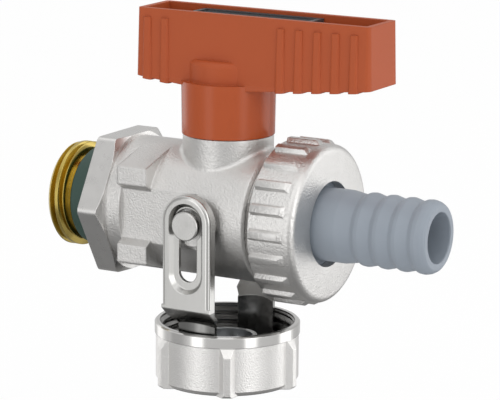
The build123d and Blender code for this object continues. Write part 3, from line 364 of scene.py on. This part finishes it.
class Finish:
    """A material in the making, with its shader and the nodes that feed it."""

    def __init__(self, name, base, metallic, roughness):
        """Starts a material with plain values on its shader."""
        self.material = bpy.data.materials.new(name)
        self.material.use_nodes = True
        self.tree = self.material.node_tree
        self.shader = self.tree.nodes["Principled BSDF"]
        self.shader.inputs["Base Color"].default_value = (*base, 1)
        self.shader.inputs["Metallic"].default_value = metallic
        self.shader.inputs["Roughness"].default_value = roughness
        self.base = tuple(base)
        self.coordinates = self.node("ShaderNodeTexCoord").outputs["Object"]

    def node(self, kind, **settings):
        """Adds a node and sets it up."""
        made = self.tree.nodes.new(kind)
        for key, value in settings.items():
            setattr(made, key, value)
        return made

    def link(self, source, target):
        """Joins an output socket to an input socket."""
        self.tree.links.new(source, target)

    def feed(self, value, name):
        """Feeds one of the shader's inputs."""
        self.link(value, self.shader.inputs[name])

    def noise(self, size, detail=2.0, stretch=(1, 1, 1)):
        """Noise whose features are about size across, longer where stretch is small."""
        mapping = self.node("ShaderNodeMapping")
        mapping.inputs["Scale"].default_value = stretch
        self.link(self.coordinates, mapping.inputs["Vector"])
        made = self.node("ShaderNodeTexNoise")
        made.inputs["Scale"].default_value = 1 / size
        made.inputs["Detail"].default_value = detail
        self.link(mapping.outputs["Vector"], made.inputs["Vector"])
        return made.outputs["Fac"]

    def spread(self, value, low, high):
        """Stretches a noise, which mostly lies between 0.3 and 0.7, to two limits."""
        made = self.node("ShaderNodeMapRange")
        made.inputs["From Min"].default_value = 0.3
        made.inputs["From Max"].default_value = 0.7
        made.inputs["To Min"].default_value = low
        made.inputs["To Max"].default_value = high
        self.link(value, made.inputs["Value"])
        return made.outputs["Result"]

    def maths(self, operation, first, second):
        """One step of arithmetic on sockets or numbers."""
        return arithmetic(self.tree, operation, first, second)

    def axis(self, name):
        """One coordinate of the object."""
        made = self.node("ShaderNodeSeparateXYZ")
        self.link(self.coordinates, made.inputs["Vector"])
        return made.outputs[name]

    def facing(self, name):
        """One part of the surface's own direction, as the object has it."""
        made = self.node("ShaderNodeSeparateXYZ")
        self.link(self.coordinates.node.outputs["Normal"], made.inputs["Vector"])
        return made.outputs[name]

    def tint(self, value, darker, lighter):
        """Varies the colour between two factors of the base colour."""
        made = self.node("ShaderNodeMix", data_type="RGBA")
        dark, light = colour_sockets(made.inputs)
        dark.default_value = (*[part * darker for part in self.base], 1)
        light.default_value = (*[min(1, part * lighter) for part in self.base], 1)
        self.link(value, made.inputs["Factor"])
        self.feed(colour_sockets(made.outputs)[0], "Base Color")

    def relief(self, layers, rounding):
        """Stacks bumps, each a height and its depth in millimetres, on softly rounded edges."""
        bevel = self.node("ShaderNodeBevel", samples=6)
        if isinstance(rounding, float):
            bevel.inputs["Radius"].default_value = rounding
        else:
            self.link(rounding, bevel.inputs["Radius"])
        normal = bevel.outputs["Normal"]
        for height, depth in layers:
            bump = self.node("ShaderNodeBump")
            bump.inputs["Distance"].default_value = MM
            bump.inputs["Strength"].default_value = 1.0
            self.link(self.maths("MULTIPLY", height, depth), bump.inputs["Height"])
            self.link(normal, bump.inputs["Normal"])
            normal = bump.outputs["Normal"]
        self.feed(normal, "Normal")


def plated_casting(colours, sizes):
    """Nickel on a blasted casting, its hex and spigot machined smooth."""
    finish = Finish("plated_casting", colours.plating, 1.0, 0.36)
    along = finish.axis("X")
    behind_hex = finish.maths("GREATER_THAN", along, HEX_X + sizes.cast_start)
    before_spigot = finish.maths("LESS_THAN", along, sizes.spigot_start)
    cast = finish.maths("MULTIPLY", behind_hex, before_spigot)
    before_pins = finish.maths("LESS_THAN", along, STEM_X - sizes.panel_reach)
    panel = finish.maths("MULTIPLY", cast, before_pins)

    # Grain and dents, deep on the casting, deepest on the panel and faint on machined metal
    grain = finish.noise(0.38 * MM, detail=3)
    dents = finish.noise(1.6 * MM, detail=2)
    height = finish.maths("ADD", grain, finish.maths("MULTIPLY", dents, 0.3))
    cast_depth = finish.maths("MULTIPLY", cast, 0.085)
    panel_depth = finish.maths("MULTIPLY", panel, 0.02)
    depth = finish.maths("ADD", finish.maths("ADD", cast_depth, panel_depth), 0.003)
    cast_rounding = finish.maths("MULTIPLY", cast, sizes.cast_round - sizes.fine_round)
    rounding = finish.maths("ADD", cast_rounding, sizes.fine_round)
    finish.relief([(finish.maths("MULTIPLY", height, depth), 1.0)], rounding)

    cast_roughness = finish.maths("ADD", finish.maths("MULTIPLY", cast, 0.12), 0.26)
    finish.feed(finish.maths("ADD", finish.spread(dents, 0.0, 0.08), cast_roughness), "Roughness")
    finish.tint(finish.noise(4 * MM), 0.94, 1.05)
    return finish.material


def plated_nut(colours, sizes):
    """Nickel on the nut: grained like the body and a little glossier."""
    finish = Finish("plated_nut", colours.plating, 1.0, 0.34)
    grain = finish.noise(0.4 * MM, detail=3)
    dents = finish.noise(1.6 * MM, detail=2)
    finish.relief([(grain, 0.11), (dents, 0.015)], sizes.fine_round * 1.5)
    finish.feed(finish.spread(dents, 0.34, 0.4), "Roughness")
    finish.tint(finish.noise(4 * MM), 0.94, 1.05)
    return finish.material


def plated_cap(colours, sizes):
    """Nickel on the cap: satin sides under a turned, polished band, and painted shade inside."""
    finish = Finish("plated_cap", colours.plating, 1.0, 0.3)
    band = finish.maths("GREATER_THAN", finish.axis("Z"), CAP_RIM - sizes.cap_band)
    side = finish.maths("SUBTRACT", 1.0, band)
    grain = finish.noise(0.28 * MM, detail=2)
    dents = finish.noise(1.8 * MM, detail=2)
    finish.relief([(finish.maths("MULTIPLY", grain, side), 0.07), (dents, 0.003)], sizes.fine_round * 1.4)
    satin = finish.maths("MULTIPLY", finish.spread(dents, 0.33, 0.39), side)
    polish = finish.maths("MULTIPLY", band, 0.14)
    finish.feed(finish.maths("ADD", satin, polish), "Roughness")

    # Painted shade: dark in the bore and the thread's root, bright outside them; the sides a little
    # brighter than the band, with a mottle
    across = finish.maths("POWER", finish.maths("SUBTRACT", finish.axis("X"), STEM_X), 2.0)
    deep = finish.maths("POWER", finish.axis("Y"), 2.0)
    radius = finish.maths("SQRT", finish.maths("ADD", across, deep), 0.0)
    outside = finish.maths("GREATER_THAN", radius, sizes.cap_root + sizes.cap_shade_reach)
    mottle = finish.maths("MULTIPLY", finish.noise(5 * MM), 0.06)
    shade = finish.maths("ADD", finish.maths("ADD", finish.maths("MULTIPLY", side, 0.3), mottle), 0.64)
    finish.tint(finish.maths("MULTIPLY", shade, outside), 0.45, 1.22)
    return finish.material


def polished_steel(colours, sizes):
    """Bright sheet steel with faint lines along the legs, and painted shade on the legs' insides and
    below the fold.
    """
    finish = Finish("polished_steel", colours.steel, 1.0, 0.16)
    lines = finish.noise(0.5 * MM, detail=2, stretch=(1, 1, 0.08))
    waves = finish.noise(5 * MM, detail=1)

    # Negative on the legs' insides, which face the middle plane
    facing = finish.maths("MULTIPLY", finish.facing("Y"), finish.axis("Y"))
    outside = finish.maths("GREATER_THAN", facing, -0.5 * MM)
    # Painted shade: a darker colour on the legs' insides and below the fold
    upper = finish.maths("GREATER_THAN", finish.axis("Z"), sizes.bail_fold)
    fold_shade_gain = finish.maths("SUBTRACT", finish.maths("MULTIPLY", upper, 0.85), 0.35)
    bright = finish.maths("ADD", finish.maths("MULTIPLY", outside, fold_shade_gain), 0.5)
    finish.relief([(lines, 0.0015), (waves, 0.004)], sizes.fine_round * 1.4)
    finish.feed(finish.spread(lines, 0.14, 0.24), "Roughness")
    finish.tint(bright, 0.3, 1.0)
    return finish.material


def turned_metal(name, base, roughness, sizes):
    """Metal from a lathe, with fine rings."""
    finish = Finish(name, base, 1.0, roughness)
    rings = finish.noise(0.22 * MM, detail=2, stretch=(1, 0.12, 0.12))
    stains = finish.noise(2.5 * MM)
    finish.relief([(rings, 0.004)], sizes.fine_round)
    finish.feed(finish.spread(stains, roughness * 0.8, roughness * 1.25), "Roughness")
    finish.tint(stains, 0.88, 1.08)
    return finish.material


def moulded(name, base, roughness, sizes, rounding=1.5):
    """Moulded plastic or rubber: a fine even grain and a slight mottle."""
    finish = Finish(name, base, 0.0, roughness)
    fine = finish.noise(0.18 * MM, detail=2)
    sink = finish.noise(6 * MM, detail=1)
    finish.relief([(fine, 0.006), (sink, 0.05)], sizes.fine_round * rounding)
    finish.feed(finish.spread(fine, roughness * 0.92, roughness * 1.1), "Roughness")
    finish.tint(finish.noise(9 * MM), 0.95, 1.05)
    return finish.material


def moulded_handle(colours, sizes):
    """Orange plastic, matt on the bar and glossier on the sleeve."""
    finish = Finish("handle_orange", colours.orange, 0.0, 0.4)
    finish.shader.inputs["Specular IOR Level"].default_value = 0.28
    sleeve = finish.maths("LESS_THAN", finish.axis("Z"), sizes.sleeve_top)
    fine = finish.noise(0.2 * MM, detail=2)
    sink = finish.noise(6 * MM, detail=1)
    finish.relief([(fine, 0.0015), (sink, 0.03)], sizes.fine_round * 1.5)
    gloss = finish.maths("MULTIPLY", sleeve, 0.25)
    finish.feed(finish.maths("SUBTRACT", finish.spread(fine, 0.43, 0.5), gloss), "Roughness")
    finish.tint(finish.noise(9 * MM), 0.95, 1.05)
    return finish.material


# Operators, one for each piece or group of pieces
class DRAINCOCK_OT_body(bpy.types.Operator):
    """Plate the cast body and the bail's pins"""

    bl_idname = "draincock.body"
    bl_label = "Body"

    def execute(self, context):
        sizes, colours = context.scene.draincock_sizes, context.scene.draincock_colours
        refinish(plated_casting(colours, sizes), "valve_body")
        pin_plating = turned_metal("pin_plating", colours.steel, 0.24, sizes)
        refinish(pin_plating, "bail_pin_front", "bail_pin_rear")
        return {"FINISHED"}


class DRAINCOCK_OT_inlet(bpy.types.Operator):
    """Turn the brass nipple with its thread and socket, and colour its sealing ring"""

    bl_idname = "draincock.inlet"
    bl_label = "Inlet"

    def execute(self, context):
        sizes, colours = context.scene.draincock_sizes, context.scene.draincock_colours
        lead = 0.5 * MM
        points = [
            (0, sizes.waterway),
            (0, sizes.inlet_root - lead),
            (lead, sizes.inlet_root),
            (sizes.relief_start, sizes.inlet_root),
            (sizes.relief_start, sizes.relief_radius),
            (sizes.inlet_thread, sizes.relief_radius),
            (sizes.inlet_thread, sizes.inlet_groove),
            (HEX_X, sizes.inlet_groove),
            (HEX_X, sizes.nipple_radius),
            (NIPPLE_END, sizes.nipple_radius),
            (NIPPLE_END, sizes.waterway),
        ]
        nipple = spin("threaded_nipple", points)
        ridge = thread_ridge(
            "inlet_ridge", start=-sizes.thread_pitch, turns=5,
            root=sizes.inlet_root, crest=THREAD_RADIUS, pitch=sizes.thread_pitch, flat=0.19,
        )

        # Trim the ridge to the thread's length, with a slope at each end
        bore = sizes.inlet_root * 0.9
        slope = 0.75 * MM
        sleeve = spin("ridge_trim", [
            (0, bore),
            (0, THREAD_RADIUS - slope),
            (slope, THREAD_RADIUS),
            (sizes.relief_start - slope / 2, THREAD_RADIUS),
            (sizes.relief_start, THREAD_RADIUS - slope),
            (sizes.relief_start, bore),
        ])
        cut(ridge, sleeve, "INTERSECT")
        cut(nipple, ridge, "UNION")

        # Hexagon socket, made of a six-sided prism that reaches as far outside as inside
        deselect()
        corner_radius = sizes.socket_flats / 2 / cos(radians(30))
        bpy.ops.mesh.primitive_cylinder_add(
            vertices=6, radius=corner_radius, depth=2 * sizes.socket_depth, rotation=(0, pi / 2, 0)
        )
        socket = context.object
        bpy.ops.object.transform_apply(location=True, rotation=True, scale=True)
        cut(nipple, socket)
        clean_up(nipple)
        brass = turned_metal("turned_brass", colours.brass, 0.2, sizes)
        dress(nipple, "valve", "brass", brass, "inlet_nipple")
        refinish(moulded("seal_green", colours.seal_green, 0.5, sizes), "inlet_seal")
        return {"FINISHED"}


class DRAINCOCK_OT_outlet_thread(bpy.types.Operator):
    """Cut the outlet's thread, broken by the side grooves"""

    bl_idname = "draincock.outlet_thread"
    bl_label = "Outlet thread"

    def execute(self, context):
        sizes, colours = context.scene.draincock_sizes, context.scene.draincock_colours
        ridge = thread_ridge(
            "outlet_thread", start=sizes.spigot_start - sizes.thread_pitch, turns=5,
            root=sizes.spigot_root, crest=sizes.spigot_crest, pitch=sizes.thread_pitch,
        )

        # Trim the ridge to the spigot, with a slope at its free end
        start = sizes.spigot_start + 0.5 * MM
        end = SPIGOT_END - 0.1 * MM
        slope = 0.8 * MM
        bore = sizes.spigot_root * 0.95
        sleeve = spin("ridge_trim", [
            (start, bore),
            (start, sizes.spigot_crest),
            (end - slope, sizes.spigot_crest),
            (end, sizes.spigot_crest - slope),
            (end, bore),
        ])
        cut(ridge, sleeve, "INTERSECT")

        # Side grooves, a little above the solid's own groove faces
        lift = 0.02 * MM
        for side in (-1, 1):
            near, far = side * (sizes.spigot_groove + lift), side * 2 * sizes.spigot_crest
            cutter = block(
                "groove_cutter",
                (sizes.spigot_start - MM, min(near, far), -sizes.spigot_groove_height),
                (SPIGOT_END + MM, max(near, far), sizes.spigot_groove_height),
            )
            cut(ridge, cutter)
        clean_up(ridge)
        dress(ridge, "valve", "nickel", turned_metal("thread_plating", colours.plating, 0.25, sizes))
        return {"FINISHED"}


class DRAINCOCK_OT_union_nut(bpy.types.Operator):
    """Turn the union nut and set its ribs with their sloping sides"""

    bl_idname = "draincock.union_nut"
    bl_label = "Union nut"

    def execute(self, context):
        sizes, colours = context.scene.draincock_sizes, context.scene.draincock_colours
        rounding = [
            (
                NUT_END - sizes.nut_round * (1 - sin(radians(degrees))),
                sizes.nut_radius - sizes.nut_round * (1 - cos(radians(degrees))),
            )
            for degrees in range(0, 91, 15)
        ]
        nut = spin("ribbed_nut", [
            (NUT_START, sizes.nut_bore),
            (NUT_START, sizes.nut_radius),
            *rounding,
            (NUT_END, sizes.nut_hole),
            (NUT_END - sizes.nut_wall, sizes.nut_hole),
            (NUT_END - sizes.nut_wall, sizes.nut_bore),
        ], steps=160)

        # One rib: narrower at its top, and its front end sloping back
        height = RIB_RADIUS - sizes.nut_radius
        foot = sizes.nut_radius - height / 2
        rib_x = NUT_START + sizes.rib_start
        slope = 1.6 * height
        rib = block(
            "rib",
            (rib_x, -sizes.rib_foot / 2, foot),
            (rib_x + sizes.rib_length, sizes.rib_foot / 2, RIB_RADIUS),
        )
        edit(rib)
        select_vertices(rib, lambda point: point.z > sizes.nut_radius)
        narrowing = sizes.rib_top / sizes.rib_foot
        bpy.ops.transform.resize(value=(1, narrowing, 1), center_override=(0, 0, 0))
        select_vertices(rib, lambda point: point.z > sizes.nut_radius and point.x > rib_x + height)
        bpy.ops.transform.translate(value=(-slope, 0, 0))
        bpy.ops.mesh.select_all(action="SELECT")
        bpy.ops.mesh.bevel(offset=sizes.fine_round, segments=2, affect="EDGES")

        # All ribs, spun round the nut's axis
        bpy.ops.mesh.select_all(action="SELECT")
        bpy.ops.mesh.spin(
            steps=RIBS - 1, dupli=True, angle=FULL_TURN * (RIBS - 1) / RIBS,
            center=(0, 0, 0), axis=(1, 0, 0),
        )
        close_edit()
        cut(nut, rib, "UNION")
        clean_up(nut)
        dress(nut, "nut", "nickel", plated_nut(colours, sizes), "union_nut")
        return {"FINISHED"}


class DRAINCOCK_OT_hose_tail(bpy.types.Operator):
    """Mould the hose tail with its rounded barbs"""

    bl_idname = "draincock.hose_tail"
    bl_label = "Hose tail"

    def execute(self, context):
        sizes, colours = context.scene.draincock_sizes, context.scene.draincock_colours
        barbs = round((TAIL_TIP - sizes.barb_start) / sizes.barb_pitch)
        flange_end = TAIL_START + sizes.tail_flange
        points = [
            (TAIL_START, sizes.tail_bore),
            (TAIL_START, TAIL_FLANGE_RADIUS),
            (flange_end, TAIL_FLANGE_RADIUS),
            (flange_end, sizes.tail_radius),
            (sizes.barb_start - sizes.tail_taper, sizes.tail_radius),
        ]

        # Barbs: a valley, a shoulder and a peak for each
        shoulder_drop = 0.08 * MM
        for count in range(barbs):
            valley = sizes.barb_start + count * sizes.barb_pitch
            points += [
                (valley - 0.1 * MM, sizes.tail_valley),
                (valley + sizes.barb_rise * 0.75, sizes.tail_peak - shoulder_drop),
                (valley + sizes.barb_rise * 1.5, sizes.tail_peak),
            ]

        # Tip: a nose in three slopes, and a small bevel round the bore
        bevel = 0.15 * MM
        points += [
            (TAIL_TIP - 1.0 * MM, sizes.tail_peak - 0.2 * MM),
            (TAIL_TIP - 0.3 * MM, sizes.tail_peak - 0.6 * MM),
            (TAIL_TIP, sizes.tail_peak - 1.0 * MM),
            (TAIL_TIP, sizes.tail_bore + bevel),
            (TAIL_TIP - bevel, sizes.tail_bore),
        ]
        tail = spin("moulded_tail", points, corner=0.12 * MM)
        grey = moulded("hose_grey", colours.hose_grey, 0.42, sizes, rounding=0.7)
        dress(tail, "tail", "grey_plastic", grey, "hose_tail")
        return {"FINISHED"}


class DRAINCOCK_OT_handle(bpy.types.Operator):
    """Colour the moulded handle and its plate"""

    bl_idname = "draincock.handle"
    bl_label = "Handle"

    def execute(self, context):
        sizes, colours = context.scene.draincock_sizes, context.scene.draincock_colours
        refinish(moulded_handle(colours, sizes), "handle")
        refinish(moulded("insert_grey", colours.insert_grey, 0.38, sizes), "handle_insert")
        return {"FINISHED"}


class DRAINCOCK_OT_bail(bpy.types.Operator):
    """Polish the bail and plate the hub and rivet on its base"""

    bl_idname = "draincock.bail"
    bl_label = "Bail"

    def execute(self, context):
        sizes, colours = context.scene.draincock_sizes, context.scene.draincock_colours
        refinish(polished_steel(colours, sizes), "bail")
        refinish(turned_metal("hub_zinc", colours.zinc, 0.3, sizes), "cap_hub", "cap_rivet")
        refinish(moulded("gasket_rubber", colours.rubber, 0.6, sizes), "cap_gasket")
        return {"FINISHED"}


class DRAINCOCK_OT_cap(bpy.types.Operator):
    """Plate the cap and cut the thread in it"""

    bl_idname = "draincock.cap"
    bl_label = "Cap"

    def execute(self, context):
        sizes, colours = context.scene.draincock_sizes, context.scene.draincock_colours
        refinish(plated_cap(colours, sizes), "cap")
        ridge = thread_ridge(
            "cap_thread", start=-2.5 * MM, turns=7,
            root=sizes.cap_root, crest=sizes.cap_crest, pitch=sizes.thread_pitch,
        )

        # Stand the ridge upright on the cap's floor
        floor = CAP_BOTTOM + sizes.cap_floor
        only(ridge)
        ridge.rotation_euler = (0, -pi / 2, 0)
        ridge.location = (STEM_X, 0, floor)
        bpy.ops.object.transform_apply(location=True, rotation=True, scale=True)

        # Trim it to the bore, with a slope below the rim
        bottom = floor + 0.9 * MM
        top = CAP_RIM - 0.9 * MM
        inside = 0.5 * sizes.cap_crest
        outside = sizes.cap_root + 0.1 * MM
        core = spin("ridge_trim", [
            (bottom, inside),
            (bottom, outside),
            (CAP_RIM - 0.2 * MM, outside),
            (top, sizes.cap_crest),
            (top, inside),
        ], axis="Z")
        cut(ridge, core, "INTERSECT")
        clean_up(ridge)
        # The thread in the cap gets half the plating's colour: painted shade
        shaded = [0.5 * part for part in colours.plating]
        dress(ridge, "cap", "nickel", turned_metal("cap_thread_shaded_plating", shaded, 0.22, sizes))
        return {"FINISHED"}


class DRAINCOCK_OT_inner_parts(bpy.types.Operator):
    """Finish the ball, the stem, the seals and the screw inside"""

    bl_idname = "draincock.inner_parts"
    bl_label = "Inner parts"

    def execute(self, context):
        sizes, colours = context.scene.draincock_sizes, context.scene.draincock_colours
        refinish(turned_metal("ball_chrome", colours.steel, 0.08, sizes), "ball")
        refinish(turned_metal("stem_brass", colours.brass, 0.3, sizes), "stem")
        refinish(turned_metal("screw_zinc", colours.zinc, 0.32, sizes), "handle_screw")
        refinish(
            moulded("seat_white", colours.seat, 0.35, sizes),
            "seat_ring_inlet", "seat_ring_outlet", "stem_washer",
        )
        refinish(
            moulded("seal_rubber", colours.rubber, 0.55, sizes),
            "nipple_seal", "stem_o_ring_lower", "stem_o_ring_upper", "tail_gasket",
        )
        return {"FINISHED"}


# What metal mirrors: levels from straight down to straight up, and once round the stem
UPRIGHT_LEVELS = (
    (0.0, 0.22), (0.1, 0.27), (0.25, 0.46), (0.36, 1.0), (0.56, 1.05),
    (0.68, 0.9), (0.8, 0.78), (0.91, 1.0), (1.0, 0.8),
)
ROUND_LEVELS = (
    (0.0, 0.85), (0.02, 0.6), (0.05, 0.58), (0.066, 0.4), (0.12, 0.42), (0.165, 0.75),
    (0.178, 1.7), (0.218, 1.7), (0.235, 0.62), (0.405, 0.58), (0.418, 1.7), (0.455, 1.7),
    (0.475, 0.65), (0.58, 0.6), (0.597, 1.7), (0.66, 1.6), (0.69, 0.6), (0.74, 0.5),
    (0.86, 0.6), (0.915, 0.65), (0.94, 1.3), (0.985, 1.3), (1.0, 0.85),
)


def graded(tree, value, low, high, levels):
    """Grey levels along a value that runs from low to high."""
    share = tree.nodes.new("ShaderNodeMapRange")
    share.inputs["From Min"].default_value = low
    share.inputs["From Max"].default_value = high
    tree.links.new(value, share.inputs["Value"])
    ramp = tree.nodes.new("ShaderNodeValToRGB")
    tree.links.new(share.outputs["Result"], ramp.inputs["Fac"])
    for place, _ in levels[1:-1]:
        ramp.color_ramp.elements.new(place)
    for element, (place, level) in zip(ramp.color_ramp.elements, levels):
        element.position = place
        element.color = (level, level, level, 1)
    return ramp.outputs["Color"]


def lay_floor(studio):
    """Lays a floor that is nearly white to the camera and stays out of reflections."""
    deselect()
    place = (STEM_X, 0, CAP_BOTTOM - studio.floor_drop)
    bpy.ops.mesh.primitive_plane_add(size=FLOOR_SIZE, location=place)
    floor = bpy.context.object
    floor.name = "floor"
    paint = bpy.data.materials.new("floor_paint")
    paint.use_nodes = True
    tree = paint.node_tree
    shader = tree.nodes["Principled BSDF"]
    shader.inputs["Base Color"].default_value = (0.92, 0.92, 0.92, 1)
    shader.inputs["Roughness"].default_value = 0.9
    shader.inputs["Specular IOR Level"].default_value = 0.0
    glow = tree.nodes.new("ShaderNodeEmission")
    rays = tree.nodes.new("ShaderNodeLightPath")
    seen = arithmetic(tree, "MULTIPLY", rays.outputs["Is Camera Ray"], studio.floor_white)
    blend = tree.nodes.new("ShaderNodeMixShader")
    tree.links.new(seen, blend.inputs["Fac"])
    tree.links.new(shader.outputs["BSDF"], blend.inputs[1])
    tree.links.new(glow.outputs["Emission"], blend.inputs[2])
    tree.links.new(blend.outputs["Shader"], tree.nodes["Material Output"].inputs["Surface"])
    floor.data.materials.append(paint)
    floor.visible_glossy = False


def light_room(studio):
    """Builds the room: plain to the camera, with bright and dark stretches for reflections."""
    world = bpy.data.worlds.new("studio")
    bpy.context.scene.world = world
    world.use_nodes = True
    tree = world.node_tree
    tree.nodes.clear()
    output = tree.nodes.new("ShaderNodeOutputWorld")
    rays = tree.nodes.new("ShaderNodeLightPath")
    direction = tree.nodes.new("ShaderNodeTexCoord")
    split = tree.nodes.new("ShaderNodeSeparateXYZ")
    tree.links.new(direction.outputs["Generated"], split.inputs["Vector"])

    # The levels round the stem fade out towards straight up and straight down
    height_shade = graded(tree, split.outputs["Z"], -1, 1, UPRIGHT_LEVELS)
    heading = arithmetic(tree, "ARCTAN2", split.outputs["Y"], split.outputs["X"])
    round_shade = graded(tree, heading, -pi, pi, ROUND_LEVELS)
    steep = arithmetic(tree, "MULTIPLY", split.outputs["Z"], split.outputs["Z"])
    shades = tree.nodes.new("ShaderNodeMix")
    shades.data_type = "RGBA"
    shades.blend_type = "MULTIPLY"
    tree.links.new(arithmetic(tree, "SUBTRACT", 1.0, steep), shades.inputs["Factor"])
    upright_socket, round_socket = colour_sockets(shades.inputs)
    tree.links.new(height_shade, upright_socket)
    tree.links.new(round_shade, round_socket)
    room = tree.nodes.new("ShaderNodeBackground")
    room.inputs["Strength"].default_value = studio.room_light
    tree.links.new(colour_sockets(shades.outputs)[0], room.inputs["Color"])

    # What the camera sees behind everything, also through clear pieces
    backdrop = tree.nodes.new("ShaderNodeBackground")
    seen, through = rays.outputs["Is Camera Ray"], rays.outputs["Is Transmission Ray"]
    shown = tree.nodes.new("ShaderNodeMixShader")
    tree.links.new(arithmetic(tree, "MAXIMUM", seen, through), shown.inputs["Fac"])
    tree.links.new(room.outputs["Background"], shown.inputs[1])
    tree.links.new(backdrop.outputs["Background"], shown.inputs[2])
    tree.links.new(shown.outputs["Shader"], output.inputs["Surface"])


def lamp(name, place, aim, size, power):
    """A square softbox at a place, turned to its aim."""
    light = bpy.data.lights.new(name, "AREA")
    light.shape = "SQUARE"
    light.size = size
    light.energy = power
    holder = bpy.data.objects.new(name, light)
    holder.location = place
    holder.rotation_euler = (Vector(aim) - Vector(place)).to_track_quat("-Z", "Y").to_euler()
    bpy.context.scene.collection.objects.link(holder)


def place_camera(studio, target):
    """Places the camera as it was fitted to the photo, looking at the target."""
    azimuth, height, roll = studio.azimuth, studio.elevation, studio.roll
    back = Vector((sin(azimuth) * cos(height), -cos(azimuth) * cos(height), sin(height)))
    level = Vector((cos(azimuth), sin(azimuth), 0))
    upward = back.cross(level)
    right = level * cos(roll) + upward * sin(roll)
    up = upward * cos(roll) - level * sin(roll)
    camera = bpy.data.objects.new("camera", bpy.data.cameras.new("camera"))
    camera.data.lens = studio.lens
    camera.data.sensor_width = SENSOR_WIDTH
    camera.data.clip_start = 0.01
    place = target + back * studio.distance
    turned = Matrix((right, up, back)).transposed().to_4x4()
    camera.matrix_world = Matrix.Translation(place) @ turned
    bpy.context.scene.collection.objects.link(camera)
    bpy.context.scene.camera = camera


class DRAINCOCK_OT_stage(bpy.types.Operator):
    """Set up the floor, the softboxes, the room light and the camera"""

    bl_idname = "draincock.stage"
    bl_label = "Stage"

    def execute(self, context):
        scene, studio = context.scene, context.scene.draincock_studio
        scene.view_settings.view_transform = "Standard"
        target = Vector((studio.target_x, 0, studio.target_z))
        lay_floor(studio)
        light_room(studio)
        lamp("key", target + Vector((0.1, -0.45, 0.45)), target, 0.6, studio.key_power)
        lamp("fill", target + Vector((0.55, -0.15, 0.2)), target, 0.5, studio.fill_power)
        lamp("top", target + Vector((0.05, 0.15, 0.6)), target, 0.8, studio.top_power)
        place_camera(studio, target)
        return {"FINISHED"}


PIECES = (
    DRAINCOCK_OT_body,
    DRAINCOCK_OT_inlet,
    DRAINCOCK_OT_outlet_thread,
    DRAINCOCK_OT_union_nut,
    DRAINCOCK_OT_hose_tail,
    DRAINCOCK_OT_handle,
    DRAINCOCK_OT_bail,
    DRAINCOCK_OT_cap,
    DRAINCOCK_OT_inner_parts,
    DRAINCOCK_OT_stage,
)
GROUPS = (DrainCockSizes, DrainCockColours, DrainCockStudio)


class DRAINCOCK_PT_panel(bpy.types.Panel):
    """Lists the pieces of the drain cock"""

    bl_idname = "DRAINCOCK_PT_panel"
    bl_label = "Drain Cock"
    bl_space_type = "VIEW_3D"
    bl_region_type = "UI"
    bl_category = "Drain Cock"

    def draw(self, context):
        for piece in PIECES:
            self.layout.operator(piece.bl_idname)
        scene = context.scene
        for group in (scene.draincock_sizes, scene.draincock_colours, scene.draincock_studio):
            box = self.layout.box()
            for name in group.__annotations__:
                box.prop(group, name)


def register():
    """Registers the classes and the settings."""
    for made in GROUPS + PIECES + (DRAINCOCK_PT_panel,):
        bpy.utils.register_class(made)
    bpy.types.Scene.draincock_sizes = bpy.props.PointerProperty(type=DrainCockSizes)
    bpy.types.Scene.draincock_colours = bpy.props.PointerProperty(type=DrainCockColours)
    bpy.types.Scene.draincock_studio = bpy.props.PointerProperty(type=DrainCockStudio)


def unregister():
    """Removes the settings and the classes."""
    del bpy.types.Scene.draincock_studio
    del bpy.types.Scene.draincock_colours
    del bpy.types.Scene.draincock_sizes
    for made in reversed(GROUPS + PIECES + (DRAINCOCK_PT_panel,)):
        bpy.utils.unregister_class(made)


def main():
    """Builds every piece in order."""
    register()
    bpy.ops.draincock.body()
    bpy.ops.draincock.inlet()
    bpy.ops.draincock.outlet_thread()
    bpy.ops.draincock.union_nut()
    bpy.ops.draincock.hose_tail()
    bpy.ops.draincock.handle()
    bpy.ops.draincock.bail()
    bpy.ops.draincock.cap()
    bpy.ops.draincock.inner_parts()
    bpy.ops.draincock.stage()


if __name__ == "__main__":
    main()
